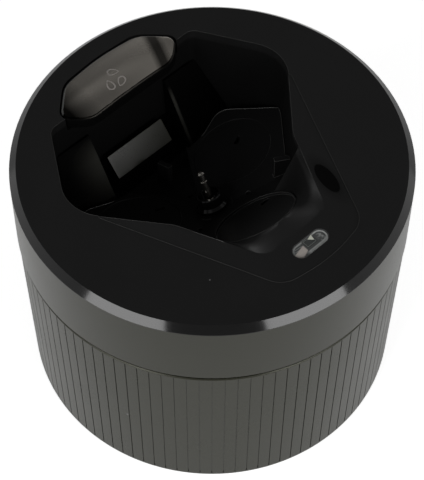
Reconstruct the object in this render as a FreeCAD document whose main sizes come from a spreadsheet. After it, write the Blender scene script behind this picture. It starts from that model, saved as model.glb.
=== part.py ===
"""Shaver cleaning station: a parametric assembly, in millimetres.

The origin is the centre of the standing plane, +Z is up, -Y is the front with the clear window
and +Y is the rear with the start button.  The station comes apart into the base with its
cartridge, the lock ring, and the head that carries the well, the pump and the controls.
"""
import FreeCAD
import Part

import math
import os
import re

import Sketcher
from FreeCAD import Placement, Rotation, Vector

# Driving dimensions.  Every one is a cell of the sheet, under the same name.
SIZES = {
    # outer form
    "total_height": 91.5,
    "collar_radius": 60.0,
    "collar_height": 26.2,
    "collar_wall": 2.1,
    "collar_lip_height": 1.0,
    "seam_gap": 1.2,
    "deck_chamfer": 2.1,
    "deck_thickness": 2.3,
    "skirt_depth": 5.0,
    "skirt_wall": 1.7,
    # base
    "collar_overhang": 0.25,
    "base_taper": 1.2,
    "base_wall": 3.65,
    "base_edge": 1.0,
    "base_floor": 2.4,
    "ledge_depth": 14.1,
    "ledge_width": 2.0,
    "guide_rib_height": 26.0,
    "guide_rib_width": 3.0,
    "foot_radius": 6.0,
    "foot_inset": 14.55,
    "foot_proud": 0.8,
    "foot_recess": 0.6,
    "foot_count": 4,
    # lock ring and the keys of the head
    "ring_height": 6.0,
    "ring_wall": 2.45,
    "key_width": 6.0,
    "key_depth": 2.7,
    "key_count": 4,
    "key_angle": 22.0,
    # fits and clearances
    "running_gap": 0.05,
    "moving_gap": 0.3,
    "seat_gap": 0.2,
    "key_gap": 0.25,
    # cartridge
    "tank_room": 2.3,
    "tank_wall": 1.6,
    "tank_headroom": 7.0,
    "tank_edge": 1.5,
    "lid_thickness": 1.8,
    "lid_skirt_depth": 2.4,
    "lid_skirt_wall": 1.6,
    "funnel_radius": 34.0,
    "funnel_floor_radius": 14.0,
    "funnel_drop": 3.6,
    "port_wall": 3.2,
    "port_rise": 5.0,
    "port_seal_width": 1.7,
    "port_seal_height": 1.8,
    "lid_drain_radius": 1.5,
    "lid_drain_circle": 10.4,
    "lid_drain_count": 6,
    "filter_height": 2.4,
    # head bowl
    "bowl_depth": 21.3,
    "bowl_floor": 2.0,
    "bowl_wall": 2.0,
    "bowl_flange": 1.8,
    "gasket_height": 2.4,
    "gasket_depth": 1.2,
    "gasket_drop": 4.8,
    "bowl_drain_radius": 1.6,
    "bowl_drain_count": 6,
    "strainer_radius": 13.2,
    "strainer_thickness": 1.0,
    "strainer_hole": 0.7,
    "strainer_hole_count": 18,
    "pillar_radius": 2.5,
    "pillar_rear_x": 28.0,
    "pillar_rear_y": 12.0,
    "pillar_front_x": 13.2,
    "pillar_front_y": -9.2,
    "cover_screw_radius": 1.5,
    "cover_screw_head": 2.7,
    "cover_screw_inset": 11.6,
    "cover_screw_grip": 4.0,
    "cover_screw_reach": 10.0,
    "column_radius": 4.1,
    "boss_radius": 3.2,
    # shaver well, in plan
    "well_wall": 1.8,
    "well_depth": 39.5,
    "well_draft": 2.6,
    "lip_y": -36.0,
    "lip_half": 11.9,
    "lip_round": 5.0,
    "waist_y": -9.6,
    "waist_half": 24.1,
    "waist_round": 7.0,
    "shoulder_y": 14.2,
    "shoulder_half": 44.5,
    "shoulder_round": 13.0,
    "well_rear_y": 40.3,
    "well_rear_half": 28.5,
    "well_rear_round": 4.0,
    "front_split_y": -14.0,
    # shallow ramp round the front of the well
    "ramp_radius": 49.1,
    "ramp_corner_half": 16.0,
    "ramp_corner_y": -46.3,
    "ramp_round": 8.0,
    "ramp_side_half": 39.2,
    "ramp_side_y": 7.5,
    "ramp_inner_half": 31.0,
    "ramp_inner_y": 3.0,
    "ramp_depth": 1.1,
    "ramp_step": 0.25,
    "mouth_rear_half": 27.0,
    "mouth_rear_y": -3.3,
    "mouth_rear_round": 8.0,
    "mouth_rise": 0.2,
    # cradle: three facets round the spindle, leaning to the rear
    "cradle_tilt": 26.0,
    "cradle_y": -0.5,
    "cradle_depth": 25.3,
    "facet_slope": 14.4,
    "facet_sink": 0.9,
    "tray_thickness": 2.4,
    "valley_front_y": 8.0,
    "valley_front_half": 1.2,
    "valley_front_depth": 29.5,
    "valley_rear_y": 31.0,
    "valley_rear_half": 16.2,
    "valley_rear_depth": 37.5,
    "tray_rear_y": 27.0,
    "tray_rear_half": 13.0,
    "tray_dip_half": 19.5,
    "tray_dip_y": 24.7,
    "tray_dip_round": 6.0,
    "tray_petal_half": 29.0,
    "tray_petal_y": 28.0,
    "tray_petal_round": 4.5,
    "tray_flank_half": 37.8,
    "tray_flank_y": 13.5,
    "tray_flank_round": 5.0,
    "tray_side_half": 41.1,
    "tray_side_y": 7.4,
    "tray_side_round": 3.0,
    "tray_front_half": 33.6,
    "tray_front_y": -17.6,
    "tray_edge_gap": 0.3,
    "dish_radius": 12.85,
    "dish_ring": 22.3,
    "dish_depth": 0.8,
    "rear_dish_depth": 0.35,
    "dish_rim": 0.7,
    "seat_radius": 6.2,
    "seat_rise": 0.3,
    "pad_radius": 12.5,
    "pad_drop": 4.2,
    "jet_radius": 0.8,
    "jet_circle": 11.4,
    "slot_length": 3.2,
    "slot_width": 1.2,
    "fin_thickness": 1.6,
    "fin_length": 5.2,
    "fin_rear_y": 18.9,
    "fin_rear_depth": 24.9,
    "fin_rear_drop": 2.4,
    "fin_side_x": 18.6,
    "fin_side_y": -7.4,
    "fin_side_depth": 11.2,
    "fin_side_angle": -30.0,
    # rest behind the cradle
    "rest_front_y": 25.9,
    "rest_front_depth": 36.2,
    "rest_rear_y": 38.6,
    "rest_rear_depth": 12.8,
    "rest_base_depth": 38.9,
    "rest_channel_half": 15.5,
    "rest_web_y": 35.9,
    "rest_web_depth": 28.3,
    "block_half": 11.3,
    "block_front_y": 30.5,
    "block_front_depth": 31.5,
    "block_slope": 49.0,
    # spindle
    "shaft_radius": 1.5,
    "pin_radius": 1.1,
    "pin_top": 13.5,
    "pin_step": 3.4,
    "pin_neck_depth": 0.25,
    "pin_neck_length": 0.8,
    "pin_head": 2.6,
    "hub_radius": 5.0,
    "hub_cup_radius": 4.05,
    "hub_cup_wall": 0.8,
    "hub_bottom": 0.6,
    "hub_flange": 0.9,
    "hub_top": 5.2,
    "hub_web": 1.4,
    "bush_radius": 3.2,
    "seal_radius": 3.7,
    # pump
    "gear_teeth": 10,
    "gear_module": 1.0,
    "gear_pressure_angle": 25.0,
    "gear_backlash": 0.34,
    "gear_centres": 10.1,
    "gear_height": 6.4,
    "gear_tip_gap": 0.2,
    "pump_wall": 2.1,
    "pump_floor": 2.6,
    "pump_cover_height": 2.0,
    "pump_gasket_height": 0.5,
    "pump_end_gap": 0.25,
    "pump_bearing_depth": 1.8,
    "pump_ear_radius": 3.0,
    "pump_ear_height": 2.2,
    "pump_ear_x": 10.2,
    "pump_ear_y": 3.0,
    "pump_nose_y": -21.2,
    "pump_room_half": 14.6,
    "pump_room_front": -26.0,
    "pump_room_rear": 4.0,
    "pump_room_top": -1.5,
    "pump_screw_radius": 0.9,
    "pump_screw_head": 1.8,
    "pump_screw_reach": 2.6,
    "tube_radius": 3.0,
    "tube_bore": 1.8,
    "tube_boss_wall": 1.6,
    "tube_depth": 12.6,
    "strainer_cap_height": 8.0,
    "strainer_cap_bottom": 5.8,
    "strainer_slot_width": 1.0,
    # start button
    "button_crown_radius": 160.0,
    "button_roll_radius": 22.0,
    "button_roll_y": 43.0,
    "button_proud": 1.6,
    "button_depth": 4.3,
    "button_front_half": 16.7,
    "button_front_y": 35.0,
    "button_front_round": 8.7,
    "button_tip_half": 23.7,
    "button_tip_y": 41.4,
    "button_tip_round": 3.0,
    "button_rear_half": 14.2,
    "button_rear_y": 50.6,
    "button_rear_round": 8.3,
    "button_rear_bulge": 1.0,
    "button_edge": 1.1,
    "button_gap": 0.4,
    "button_recess": 5.6,
    "hinge_y": 51.6,
    "hinge_depth": 6.7,
    "hinge_pin_radius": 1.0,
    "hinge_pin_half": 15.0,
    "ear_inner": 8.5,
    "ear_thickness": 3.0,
    "ear_reach": 2.0,
    "lug_gap": 0.5,
    "bracket_thickness": 2.0,
    "bracket_depth": 12.5,
    "bracket_front_y": 42.9,
    "bracket_rear_y": 53.6,
    "bracket_screw_x": 23.5,
    "bracket_screw_y": 46.6,
    "bracket_ear_radius": 3.8,
    "bracket_boss_radius": 2.6,
    "small_screw_radius": 0.9,
    "small_screw_head": 1.8,
    "small_screw_head_height": 1.4,
    "small_screw_reach": 6.0,
    "switch_y": 46.0,
    "switch_size": 6.2,
    "switch_height": 3.6,
    "plunger_radius": 1.6,
    "plunger_rise": 1.3,
    "plunger_inset": 0.9,
    "foot_radius_button": 1.9,
    "foot_gap": 0.15,
    "spring_x": 8.6,
    "spring_y": 46.0,
    "spring_radius": 2.0,
    "spring_wire": 0.28,
    "spring_turns": 6,
    "spring_seat_gap": 0.1,
    # control board, lamp and cells
    "board_half": 15.0,
    "board_front_y": -53.0,
    "board_rear_y": -33.0,
    "board_depth": 8.4,
    "board_thickness": 1.6,
    "board_post_x": 12.0,
    "board_post_front_y": -50.4,
    "board_post_rear_y": -35.2,
    "board_post_radius": 2.1,
    "lamp_size": 3.4,
    "lamp_depth": 3.6,
    "window_y": -41.1,
    "window_half": 6.3,
    "window_round": 2.6,
    "window_flange": 0.6,
    "window_flange_height": 1.0,
    "window_recess": 0.15,
    "cell_radius": 10.0,
    "cell_height": 3.2,
    "cell_y": -43.0,
    "cell_gap": 0.1,
    "holder_wall": 1.4,
}

# Places that follow from the sizes.
PLACES = {
    "collar_bottom": "total_height - collar_height",
    "base_top_radius": "collar_radius - collar_overhang",
    "base_bottom_radius": "base_top_radius - base_taper",
    "bay_radius": "base_bottom_radius - base_wall",
    "bay_floor": "foot_proud + base_floor",
    "ledge_height": "base_top - ledge_depth",
    "foot_circle": "base_bottom_radius - foot_inset",
    "tank_radius": "bay_radius - tank_room",
    "tank_height": "bowl_bottom - bay_floor - tank_headroom",
    "bowl_bottom": "collar_bottom - bowl_depth",
    "gasket_place": "collar_bottom - gasket_drop",
    "cover_screw_circle": "collar_radius - cover_screw_inset",
    "valley_front_top": "total_height - valley_front_depth",
    "valley_rear_top": "total_height - valley_rear_depth",
    "fin_rear_top": "total_height - fin_rear_depth",
    "fin_side_top": "total_height - fin_side_depth",
    "rest_front_top": "total_height - rest_front_depth",
    "rest_rear_top": "total_height - rest_rear_depth",
    "rest_bottom": "total_height - rest_base_depth",
    "block_front_top": "total_height - block_front_depth",
    "tube_top": "spindle_height - tube_depth",
    "button_bottom": "total_height - button_depth",
    "wall_under_button": "total_height - button_recess",
    "hinge_z": "total_height - hinge_depth",
    "bracket_top": "total_height - bracket_depth",
    "board_top": "total_height - board_depth",
    "lamp_top": "total_height - lamp_depth",
    "base_top": "collar_bottom - seam_gap",
    "upper_bay_radius": "bay_radius + ledge_width",
    "guide_radius": "tank_radius + moving_gap + seat_gap",
    "foot_top": "foot_proud + foot_recess",
    "ring_outer": "upper_bay_radius - running_gap",
    "ring_inner": "ring_outer - ring_wall",
    "ring_top": "ledge_height + ring_height",
    "bowl_lower_radius": "ring_inner - moving_gap",
    "bowl_upper_radius": "upper_bay_radius - moving_gap",
    "bowl_inner_radius": "bowl_lower_radius - bowl_wall",
    "bowl_floor_top": "bowl_bottom + bowl_floor",
    "collar_inner": "collar_radius - collar_wall",
    "flange_bottom": "collar_bottom + collar_lip_height",
    "flange_top": "flange_bottom + bowl_flange",
    "flange_radius": "collar_inner - seat_gap",
    "deck_under": "total_height - deck_thickness",
    "tank_top": "bay_floor + tank_height",
    "tank_inner": "tank_radius - tank_wall",
    "lid_top": "tank_top + lid_thickness",
    "funnel_floor": "lid_top - funnel_drop",
    "port_bore": "tube_radius + moving_gap + seat_gap",
    "port_outer": "port_bore + port_wall",
    "port_top": "funnel_floor + port_rise",
    "spindle_height": "total_height - cradle_depth",
    "column_top": "collar_bottom + seat_gap",
    "screw_seat": "column_top - cover_screw_grip",
    "gear_top": "-(pad_drop + pump_cover_height + pump_gasket_height + pump_end_gap)",
    "gear_bottom": "gear_top - gear_height",
    "gear_tip_radius": "gear_module * gear_teeth / 2 + 0.9 * gear_module",
    "chamber_radius": "gear_tip_radius + gear_tip_gap",
    "pump_radius": "chamber_radius + pump_wall",
    "cover_bottom": "-(pad_drop + pump_cover_height)",
    "gasket_bottom": "cover_bottom - pump_gasket_height",
    "chamber_bottom": "gear_bottom - pump_end_gap",
    "housing_bottom": "chamber_bottom - pump_floor",
    "bearing_bottom": "chamber_bottom - pump_bearing_depth",
    "tube_bottom": "strainer_cap_bottom + strainer_cap_height",
    "bracket_bottom": "bracket_top - bracket_thickness",
    "switch_top": "bracket_top + switch_height",
    "plunger_top": "switch_top + plunger_rise",
    "board_bottom": "board_top - board_thickness",
    "lug_inner": "ear_inner + ear_thickness + lug_gap",
}

DOC = FreeCAD.newDocument("ShaverCleaningStation")
SHEET = DOC.addObject("Spreadsheet::Sheet", "Sizes")
NODES = []


def fill_sheet():
    """Writes every driving dimension to its own named cell."""
    for row, (alias, number) in enumerate(SIZES.items(), start=1):
        SHEET.set(f"A{row}", alias.replace("_", " "))
        SHEET.set(f"B{row}", str(number))
        SHEET.setAlias(f"B{row}", alias)
    DOC.recompute()


def formula(text):
    """Turns a formula in plain names into one that reads the sheet."""
    def cell(match):
        word = match.group(0)
        if word in PLACES:
            return "(" + formula(PLACES[word]) + ")"
        return f"Sizes.{word}" if word in SIZES else word
    return re.sub(r"[a-z_]+", cell, str(text))


def value(text):
    """Returns the number that a formula gives now."""
    answer = SHEET.evalExpression(formula(text))
    return float(getattr(answer, "Value", answer))


def bind(item, **formulas):
    """Binds properties of an object to formulas on the sheet."""
    for name, text in formulas.items():
        item.setExpression(name, formula(text))
    return item


def place(item, x="0", y="0", z="0"):
    """Binds an object's place to formulas."""
    for axis, text in zip("xyz", (x, y, z)):
        item.setExpression(f".Placement.Base.{axis}", formula(text))
    return item


def turned(item, text, axis=Vector(0, 0, 1)):
    """Turns an object about an axis through its place by a bound angle in degrees."""
    item.Placement = Placement(item.Placement.Base, Rotation(axis, max(value(text), 0.001)))
    item.setExpression(".Placement.Rotation.Angle", f"({formula(text)}) * 1deg")
    return item


def tilted(item):
    """Moves an object from the cradle's own frame, whose +Z is the spindle, to the station's."""
    turned(item, "cradle_tilt", Vector(-1, 0, 0))
    return place(item, "0", "cradle_y", "spindle_height")


def polar(radius, angle):
    """Returns the x and y formulas of a point at a radius and an angle in degrees."""
    return f"({radius}) * cos(({angle}) * 1deg)", f"({radius}) * sin(({angle}) * 1deg)"


def cylinder(name, radius, bottom, top, x="0", y="0"):
    """Makes an upright cylinder between two heights."""
    item = bind(DOC.addObject("Part::Cylinder", name), Radius=radius, Height=f"({top}) - ({bottom})")
    return place(item, x, y, bottom)


def box(name, low, high):
    """Makes a box between two corners, each three formulas."""
    spans = [f"({b}) - ({a})" for a, b in zip(low, high)]
    item = bind(DOC.addObject("Part::Box", name), Length=spans[0], Width=spans[1], Height=spans[2])
    return place(item, *low)


def fuse(name, *parts):
    """Joins several objects."""
    item = DOC.addObject("Part::MultiFuse", name)
    item.Shapes = list(parts)
    return item


def cut(name, base, *tools):
    """Takes one or more objects away from another."""
    item = DOC.addObject("Part::Cut", name)
    item.Base = base
    item.Tool = tools[0] if len(tools) == 1 else fuse(name + "_tools", *tools)
    return item


def compound(name, *parts):
    """Groups separate solids as one object."""
    item = DOC.addObject("Part::Compound", name)
    item.Links = list(parts)
    return item


def shaped(name, shape):
    """Keeps a shape that was worked out from the sheet."""
    item = DOC.addObject("Part::Feature", name)
    item.Shape = shape
    return item


def origin_plane(body, role):
    """Finds one of a body's own origin planes."""
    return next(plane for plane in body.Origin.OriginFeatures if plane.Role == role)


def profile_sketch(body, points, role):
    """Draws a closed outline of straight lines, each corner bound to the sheet."""
    sketch = body.newObject("Sketcher::SketchObject", body.Name + "_profile")
    sketch.AttachmentSupport = [(origin_plane(body, role), "")]
    sketch.MapMode = "FlatFace"
    corners = [Vector(value(a), value(b), 0) for a, b in points]
    for start, end in zip(corners, corners[1:] + corners[:1]):
        sketch.addGeometry(Part.LineSegment(start, end), False)
    for side in range(len(corners)):
        sketch.addConstraint(Sketcher.Constraint("Coincident", side, 2, (side + 1) % len(corners), 1))
    for side, (corner, texts) in enumerate(zip(corners, points)):
        for kind, number, text in zip(("DistanceX", "DistanceY"), corner, texts):
            index = sketch.addConstraint(Sketcher.Constraint(kind, -1, 1, side, 1, number))
            sketch.setExpression(f"Constraints[{index}]", formula(text))
    return sketch


def revolved(name, points):
    """Turns a closed outline of (radius, height) corners into a body of revolution."""
    body = DOC.addObject("PartDesign::Body", name)
    sketch = profile_sketch(body, points, "XZ_Plane")
    feature = body.newObject("PartDesign::Revolution", name + "_turn")
    feature.Profile = sketch
    feature.ReferenceAxis = (sketch, ["V_Axis"])
    feature.Angle = 360
    return body


def padded(name, points, bottom, height):
    """Pads a flat outline of (x, y) corners upward from a height."""
    body = DOC.addObject("PartDesign::Body", name)
    sketch = profile_sketch(body, points, "XY_Plane")
    feature = body.newObject("PartDesign::Pad", name + "_pad")
    feature.Profile = sketch
    bind(feature, Length=height)
    return place(body, "0", "0", bottom)


def node(item, label):
    """Names a finished sub-part."""
    item.Label = label
    NODES.append(item)
    return item


# ---------------------------------------------------------------- outlines worked out in code


def rounded(corners):
    """Makes a closed wire at height 0 from (x, y, radius) corners, each rounded by an arc."""
    edges = []
    ends = []
    for index, (x, y, radius) in enumerate(corners):
        here = Vector(x, y, 0)
        back = Vector(*corners[index - 1][:2], 0) - here
        ahead = Vector(*corners[(index + 1) % len(corners)][:2], 0) - here
        half = back.getAngle(ahead) / 2
        reach = radius / math.tan(half)
        start = here + back.normalize() * reach
        end = here + ahead.normalize() * reach
        middle = here + (back + ahead).normalize() * (radius / math.sin(half) - radius)
        ends.append((start, middle, end))
    for index, (start, middle, end) in enumerate(ends):
        edges.append(Part.Arc(start, middle, end).toShape())
        following = ends[(index + 1) % len(ends)][0]
        if end.distanceToPoint(following) > 1e-6:
            edges.append(Part.LineSegment(end, following).toShape())
    return Part.Wire(edges)


def mirrored_corners(right):
    """Adds the left half to (x, y, radius) corners listed up the right side."""
    return right + [(-x, y, radius) for x, y, radius in reversed(right)]


def well_wire(offset=0.0):
    """Returns the well's outline in plan, grown by an offset."""
    right = [(value(f"{part}_half"), value(f"{part}_y"), value(f"{part}_round"))
             for part in ("lip", "waist", "shoulder", "well_rear")]
    wire = rounded(mirrored_corners(right))
    return wire.makeOffset2D(offset) if abs(offset) > 1e-6 else wire


def raised(wire, height):
    """Returns a copy of a flat wire at a height."""
    copy = wire.copy()
    copy.translate(Vector(0, 0, height))
    return copy


def well_draft_at(height):
    """Returns the well outline's offset at a height: the walls lean in as they go down."""
    return -value("well_draft") * (value("total_height") - height) / value("well_depth")


def well_space(gap=0.0, rise=1.0):
    """Returns the space inside the well's leaning walls, shrunk by a gap."""
    top = value("total_height") + rise
    bottom = value("total_height - well_depth") - rise
    ends = [raised(well_wire(well_draft_at(height) - gap), height) for height in (bottom, top)]
    return Part.makeLoft(ends, True, True)


def facet_pyramid(sink):
    """Returns the air above the cradle's three facets, in the cradle's frame."""
    slope = math.tan(math.radians(value("facet_slope")))
    height = value("well_depth")
    reach = 2 * (height + sink) / slope
    apex = Vector(0, 0, -sink)
    rim = [Vector(reach * math.cos(math.radians(a)), reach * math.sin(math.radians(a)), height)
           for a in (-30, 90, 210)]
    sides = [Part.Face(Part.makePolygon([apex, rim[k], rim[k - 1], apex])) for k in range(3)]
    lid = Part.Face(Part.makePolygon(rim + rim[:1]))
    return Part.makeSolid(Part.makeShell(sides + [lid]))


def valley_space(grow=0.0):
    """Returns the air over the flat valley between the two rear petals, in the station's frame."""
    top = value("spindle_height")
    ends = [(value("valley_front_y") - grow, value("valley_front_top") - grow),
            (value("valley_rear_y") + grow, value("valley_rear_top") - grow)]
    side = Part.makePolygon([Vector(0, *ends[0]), Vector(0, *ends[1]), Vector(0, ends[1][0], top),
                             Vector(0, ends[0][0], top), Vector(0, *ends[0])])
    reach = value("collar_radius")
    bar = Part.Face(side).extrude(Vector(2 * reach, 0, 0))
    bar.translate(Vector(-reach, 0, 0))
    plan = rounded(mirrored_corners([
        (value("valley_front_half") + grow, value("valley_front_y") - grow, 1.0),
        (value("valley_rear_half") + grow, value("valley_rear_y") + grow, 1.0)]))
    return bar.common(prism(plan, 0, top))


def facet_place(angle):
    """Returns where a dish sits: its centre on the facet, with +Z along the facet's normal."""
    slope = value("facet_slope")
    ring = value("dish_ring")
    height = ring * math.tan(math.radians(slope)) - value("facet_sink")
    turn = Rotation(Vector(0, 0, 1), angle).multiply(Rotation(Vector(0, 1, 0), -slope))
    centre = Rotation(Vector(0, 0, 1), angle).multVec(Vector(ring, 0, height))
    return Placement(centre, turn)


def cradle_place():
    """Returns the placement of the cradle's frame in the station."""
    return Placement(Vector(0, value("cradle_y"), value("spindle_height")),
                     Rotation(Vector(-1, 0, 0), value("cradle_tilt")))


DISH_ANGLES = {"front": -90, "right": 30, "left": 150}


def dish_cylinder(side, radius, low, high):
    """Returns a cylinder on a dish's own axis, in the station's frame."""
    shape = Part.makeCylinder(radius, high - low, Vector(0, 0, low))
    shape.Placement = cradle_place().multiply(facet_place(DISH_ANGLES[side]))
    return shape


def ray_reach(corners, centre, angle):
    """Returns how far a ray from a centre runs to a rounded outline."""
    direction = Vector(math.cos(angle), math.sin(angle), 0)
    far = Part.LineSegment(centre, centre + direction * 2 * value("collar_radius")).toShape()
    return max(vertex.Point.distanceToPoint(centre) for vertex in far.common(Part.Face(corners)).Vertexes)


def closed_curve(points):
    """Returns a smooth closed wire through points."""
    curve = Part.BSplineCurve()
    curve.interpolate(points, PeriodicFlag=True)
    return Part.Wire(curve.toShape())


def ramp_space():
    """Returns the shallow hollow that slopes from the deck down to the well's front lip."""
    top = value("total_height")
    low = top - value("ramp_depth")
    arc_y = -value("ramp_radius")
    outer = rounded(mirrored_corners([
        (value("ramp_corner_half"), value("ramp_corner_y"), value("ramp_round")),
        (value("ramp_side_half"), value("ramp_side_y"), 1.0)]) + [(0.0, arc_y, value("ramp_radius"))])
    inner = rounded(mirrored_corners([
        (value("lip_half"), value("lip_y"), value("lip_round")),
        (value("ramp_inner_half"), value("ramp_inner_y"), 1.0)])
        + [(0.0, value("lip_y") - 0.5, value("ramp_radius"))])
    step = value("ramp_step")
    slope = Part.makeLoft([raised(inner, low), raised(outer, top - step)], True, True)
    return slope.fuse(prism(outer, top - step, top + 1.0))


def mouth_space():
    """Returns the space that flares from the front dish's rim up to the well's front lip."""
    centre = Vector(0, value("lip_y") / 2, 0)
    lip_height = value("total_height - ramp_depth")
    outline = rounded(mirrored_corners([
        (value("lip_half"), value("lip_y"), value("lip_round")),
        (value("mouth_rear_half"), value("mouth_rear_y"), value("mouth_rear_round"))]))
    dish = cradle_place().multiply(facet_place(DISH_ANGLES["front"]))
    rim_radius = value("dish_radius + dish_rim + mouth_rise")
    rise = value("mouth_rise")
    lip, rim = [], []
    steps = 48
    for step in range(steps):
        angle = 2 * math.pi * step / steps
        direction = Vector(math.cos(angle), math.sin(angle), 0)
        low = dish.multVec(Vector(-math.sin(angle), math.cos(angle), 0) * rim_radius)
        high = centre + direction * ray_reach(outline, centre, angle) + Vector(0, 0, lip_height)
        rim.append(low)
        lip.append(high + (high - low) * (rise / (high.z - low.z)))
    return Part.makeLoft([closed_curve(rim), closed_curve(lip)], True, True)


def involute_gear(phase):
    """Returns a spur gear standing on the plane z = 0 of its own frame."""
    teeth = int(value("gear_teeth"))
    module = value("gear_module")
    pitch = teeth * module / 2
    base = pitch * math.cos(math.radians(value("gear_pressure_angle")))
    tip = value("gear_tip_radius")
    root = pitch - 1.25 * module

    def involute(radius):
        spread = math.sqrt(max((radius / base) ** 2 - 1, 0.0))
        return spread - math.atan(spread)

    half = (math.pi * module / 2 - value("gear_backlash")) / (2 * pitch) + involute(pitch)
    flank_steps = 5
    flank = [base + (tip - base) * step / flank_steps for step in range(flank_steps + 1)]
    points = []
    for tooth in range(teeth):
        middle = math.radians(phase) + 2 * math.pi * tooth / teeth
        rising = [(root, -half)] + [(r, involute(r) - half) for r in flank]
        falling = [(r, -turn) for r, turn in reversed(rising)]
        points += [Vector(r * math.cos(middle + turn), r * math.sin(middle + turn), 0)
                   for r, turn in rising + falling]
    face = Part.Face(Part.makePolygon(points + points[:1]))
    return face.extrude(Vector(0, 0, value("gear_height")))


# ---------------------------------------------------------------- base


def make_base():
    """Makes the base shell with its feet and the ring that locks the head."""
    turn = revolved("base_turn", [
        ("0", "foot_proud"), ("base_bottom_radius - base_edge", "foot_proud"),
        ("base_bottom_radius", "foot_proud + base_edge"), ("base_top_radius", "base_top"),
        ("upper_bay_radius", "base_top"), ("upper_bay_radius", "ledge_height"),
        ("bay_radius", "ledge_height"), ("bay_radius", "bay_floor"), ("0", "bay_floor")])
    feet = []
    recesses = []
    ribs = []
    for index in range(int(value("foot_count"))):
        angle = f"360 * ({index} + 0.5) / foot_count"
        x, y = polar("foot_circle", angle)
        recesses.append(cylinder(f"foot_recess_{index}", "foot_radius + seat_gap / 2", "0", "foot_top", x, y))
        feet.append(cylinder(f"foot_{index}", "foot_radius", "0", "foot_top", x, y))
        rib = box(f"guide_rib_{index}",
                  ("guide_radius", "-guide_rib_width / 2", "bay_floor"),
                  ("bay_radius + seat_gap", "guide_rib_width / 2", "bay_floor + guide_rib_height"))
        place(rib, "0", "0", "0")
        ribs.append(place_on_ring(rib, "guide_radius", "-guide_rib_width / 2", "bay_floor", angle))
    node(cut("base_shell", fuse("base_body", turn, *ribs), *recesses), "base_shell")
    node(compound("rubber_feet", *feet), "rubber_feet")

    ring = revolved("lock_ring_turn", [
        ("ring_inner", "ledge_height"), ("ring_outer", "ledge_height"),
        ("ring_outer", "ring_top"), ("ring_inner", "ring_top")])
    slots = [key_box(f"ring_slot_{index}", index, "key_gap", "ring_top + 1") for index in key_range()]
    node(cut("lock_ring", ring, *slots), "lock_ring")


def place_on_ring(item, x, y, z, angle):
    """Turns an object about the station's axis, from its place at angle zero."""
    turned(item, angle)
    shift_x = f"({x}) * cos(({angle}) * 1deg) - ({y}) * sin(({angle}) * 1deg)"
    shift_y = f"({x}) * sin(({angle}) * 1deg) + ({y}) * cos(({angle}) * 1deg)"
    return place(item, shift_x, shift_y, z)


def key_range():
    """Returns the numbers of the head's keys."""
    return range(int(value("key_count")))


def key_box(name, index, gap, top):
    """Makes the box of one key, or of its slot where a gap is given."""
    inner = f"ring_inner - bowl_wall - {gap}"
    outer = f"ring_outer - moving_gap + {gap} + {gap}"
    low = f"ring_top - key_depth - {gap}"
    half = f"(key_width / 2 + {gap})"
    angle = f"key_angle + 360 * {index} / key_count"
    item = box(name, (inner, f"-{half}", low), (outer, half, top))
    return place_on_ring(item, inner, f"-{half}", low, angle)


# ---------------------------------------------------------------- cartridge


def make_cartridge():
    """Makes the fluid cartridge: tank, lid, filter and the seal of its port."""
    node(revolved("cartridge_tank", [
        ("0", "bay_floor"), ("tank_radius - tank_edge", "bay_floor"),
        ("tank_radius", "bay_floor + tank_edge"), ("tank_radius", "tank_top"),
        ("tank_inner", "tank_top"), ("tank_inner", "bay_floor + tank_wall + tank_edge"),
        ("tank_inner - tank_edge", "bay_floor + tank_wall"), ("0", "bay_floor + tank_wall")]),
        "cartridge_tank")
    skirt_outer = "(tank_inner - seat_gap)"
    skirt_inner = f"({skirt_outer} - lid_skirt_wall)"
    seat = "(port_bore + port_seal_width)"
    under = "(funnel_floor - lid_thickness)"
    lid = revolved("lid_turn", [
        ("port_bore", f"{under} - lid_thickness"), ("port_outer", f"{under} - lid_thickness"),
        ("port_outer", under), ("funnel_floor_radius + seat_gap", under),
        ("funnel_radius + seat_gap", "tank_top"), (skirt_inner, "tank_top"),
        (skirt_inner, "tank_top - lid_skirt_depth"), (skirt_outer, "tank_top - lid_skirt_depth"),
        (skirt_outer, "tank_top"), ("tank_radius", "tank_top"), ("tank_radius", "lid_top"),
        ("funnel_radius", "lid_top"), ("funnel_floor_radius", "funnel_floor"),
        ("port_outer", "funnel_floor"), ("port_outer", "port_top"), (seat, "port_top"),
        (seat, "port_top - port_seal_height"), ("port_bore", "port_top - port_seal_height")])
    drains = [cylinder(f"lid_drain_{index}", "lid_drain_radius", "funnel_floor - 2 * lid_thickness - 1",
                       "funnel_floor + 1", *polar("lid_drain_circle", f"360 * {index} / lid_drain_count"))
              for index in range(int(value("lid_drain_count")))]
    node(cut("cartridge_lid", lid, *drains), "cartridge_lid")
    node(revolved("cartridge_filter", [
        ("port_outer + seat_gap", "funnel_floor"), ("funnel_floor_radius - seat_gap", "funnel_floor"),
        ("funnel_floor_radius - seat_gap", "funnel_floor + filter_height"),
        ("port_outer + seat_gap", "funnel_floor + filter_height")]), "cartridge_filter")
    node(revolved("port_seal", [
        ("tube_radius + moving_gap", "port_top - port_seal_height"), (seat, "port_top - port_seal_height"),
        (seat, "port_top"), ("tube_radius + moving_gap", "port_top")]), "port_seal")


# ---------------------------------------------------------------- head bowl and collar


SCREW_ANGLES = ("3", "177", "225", "315")


def screw(name, radius, head, seat, head_height, tip, x="0", y="0"):
    """Makes a pan head screw, its head below the seat and its shank up to the tip."""
    bottom = f"({seat}) - ({head_height})"
    return fuse(name, cylinder(name + "_head", head, bottom, seat, x, y),
                cylinder(name + "_shank", radius, seat, tip, x, y))


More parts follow.
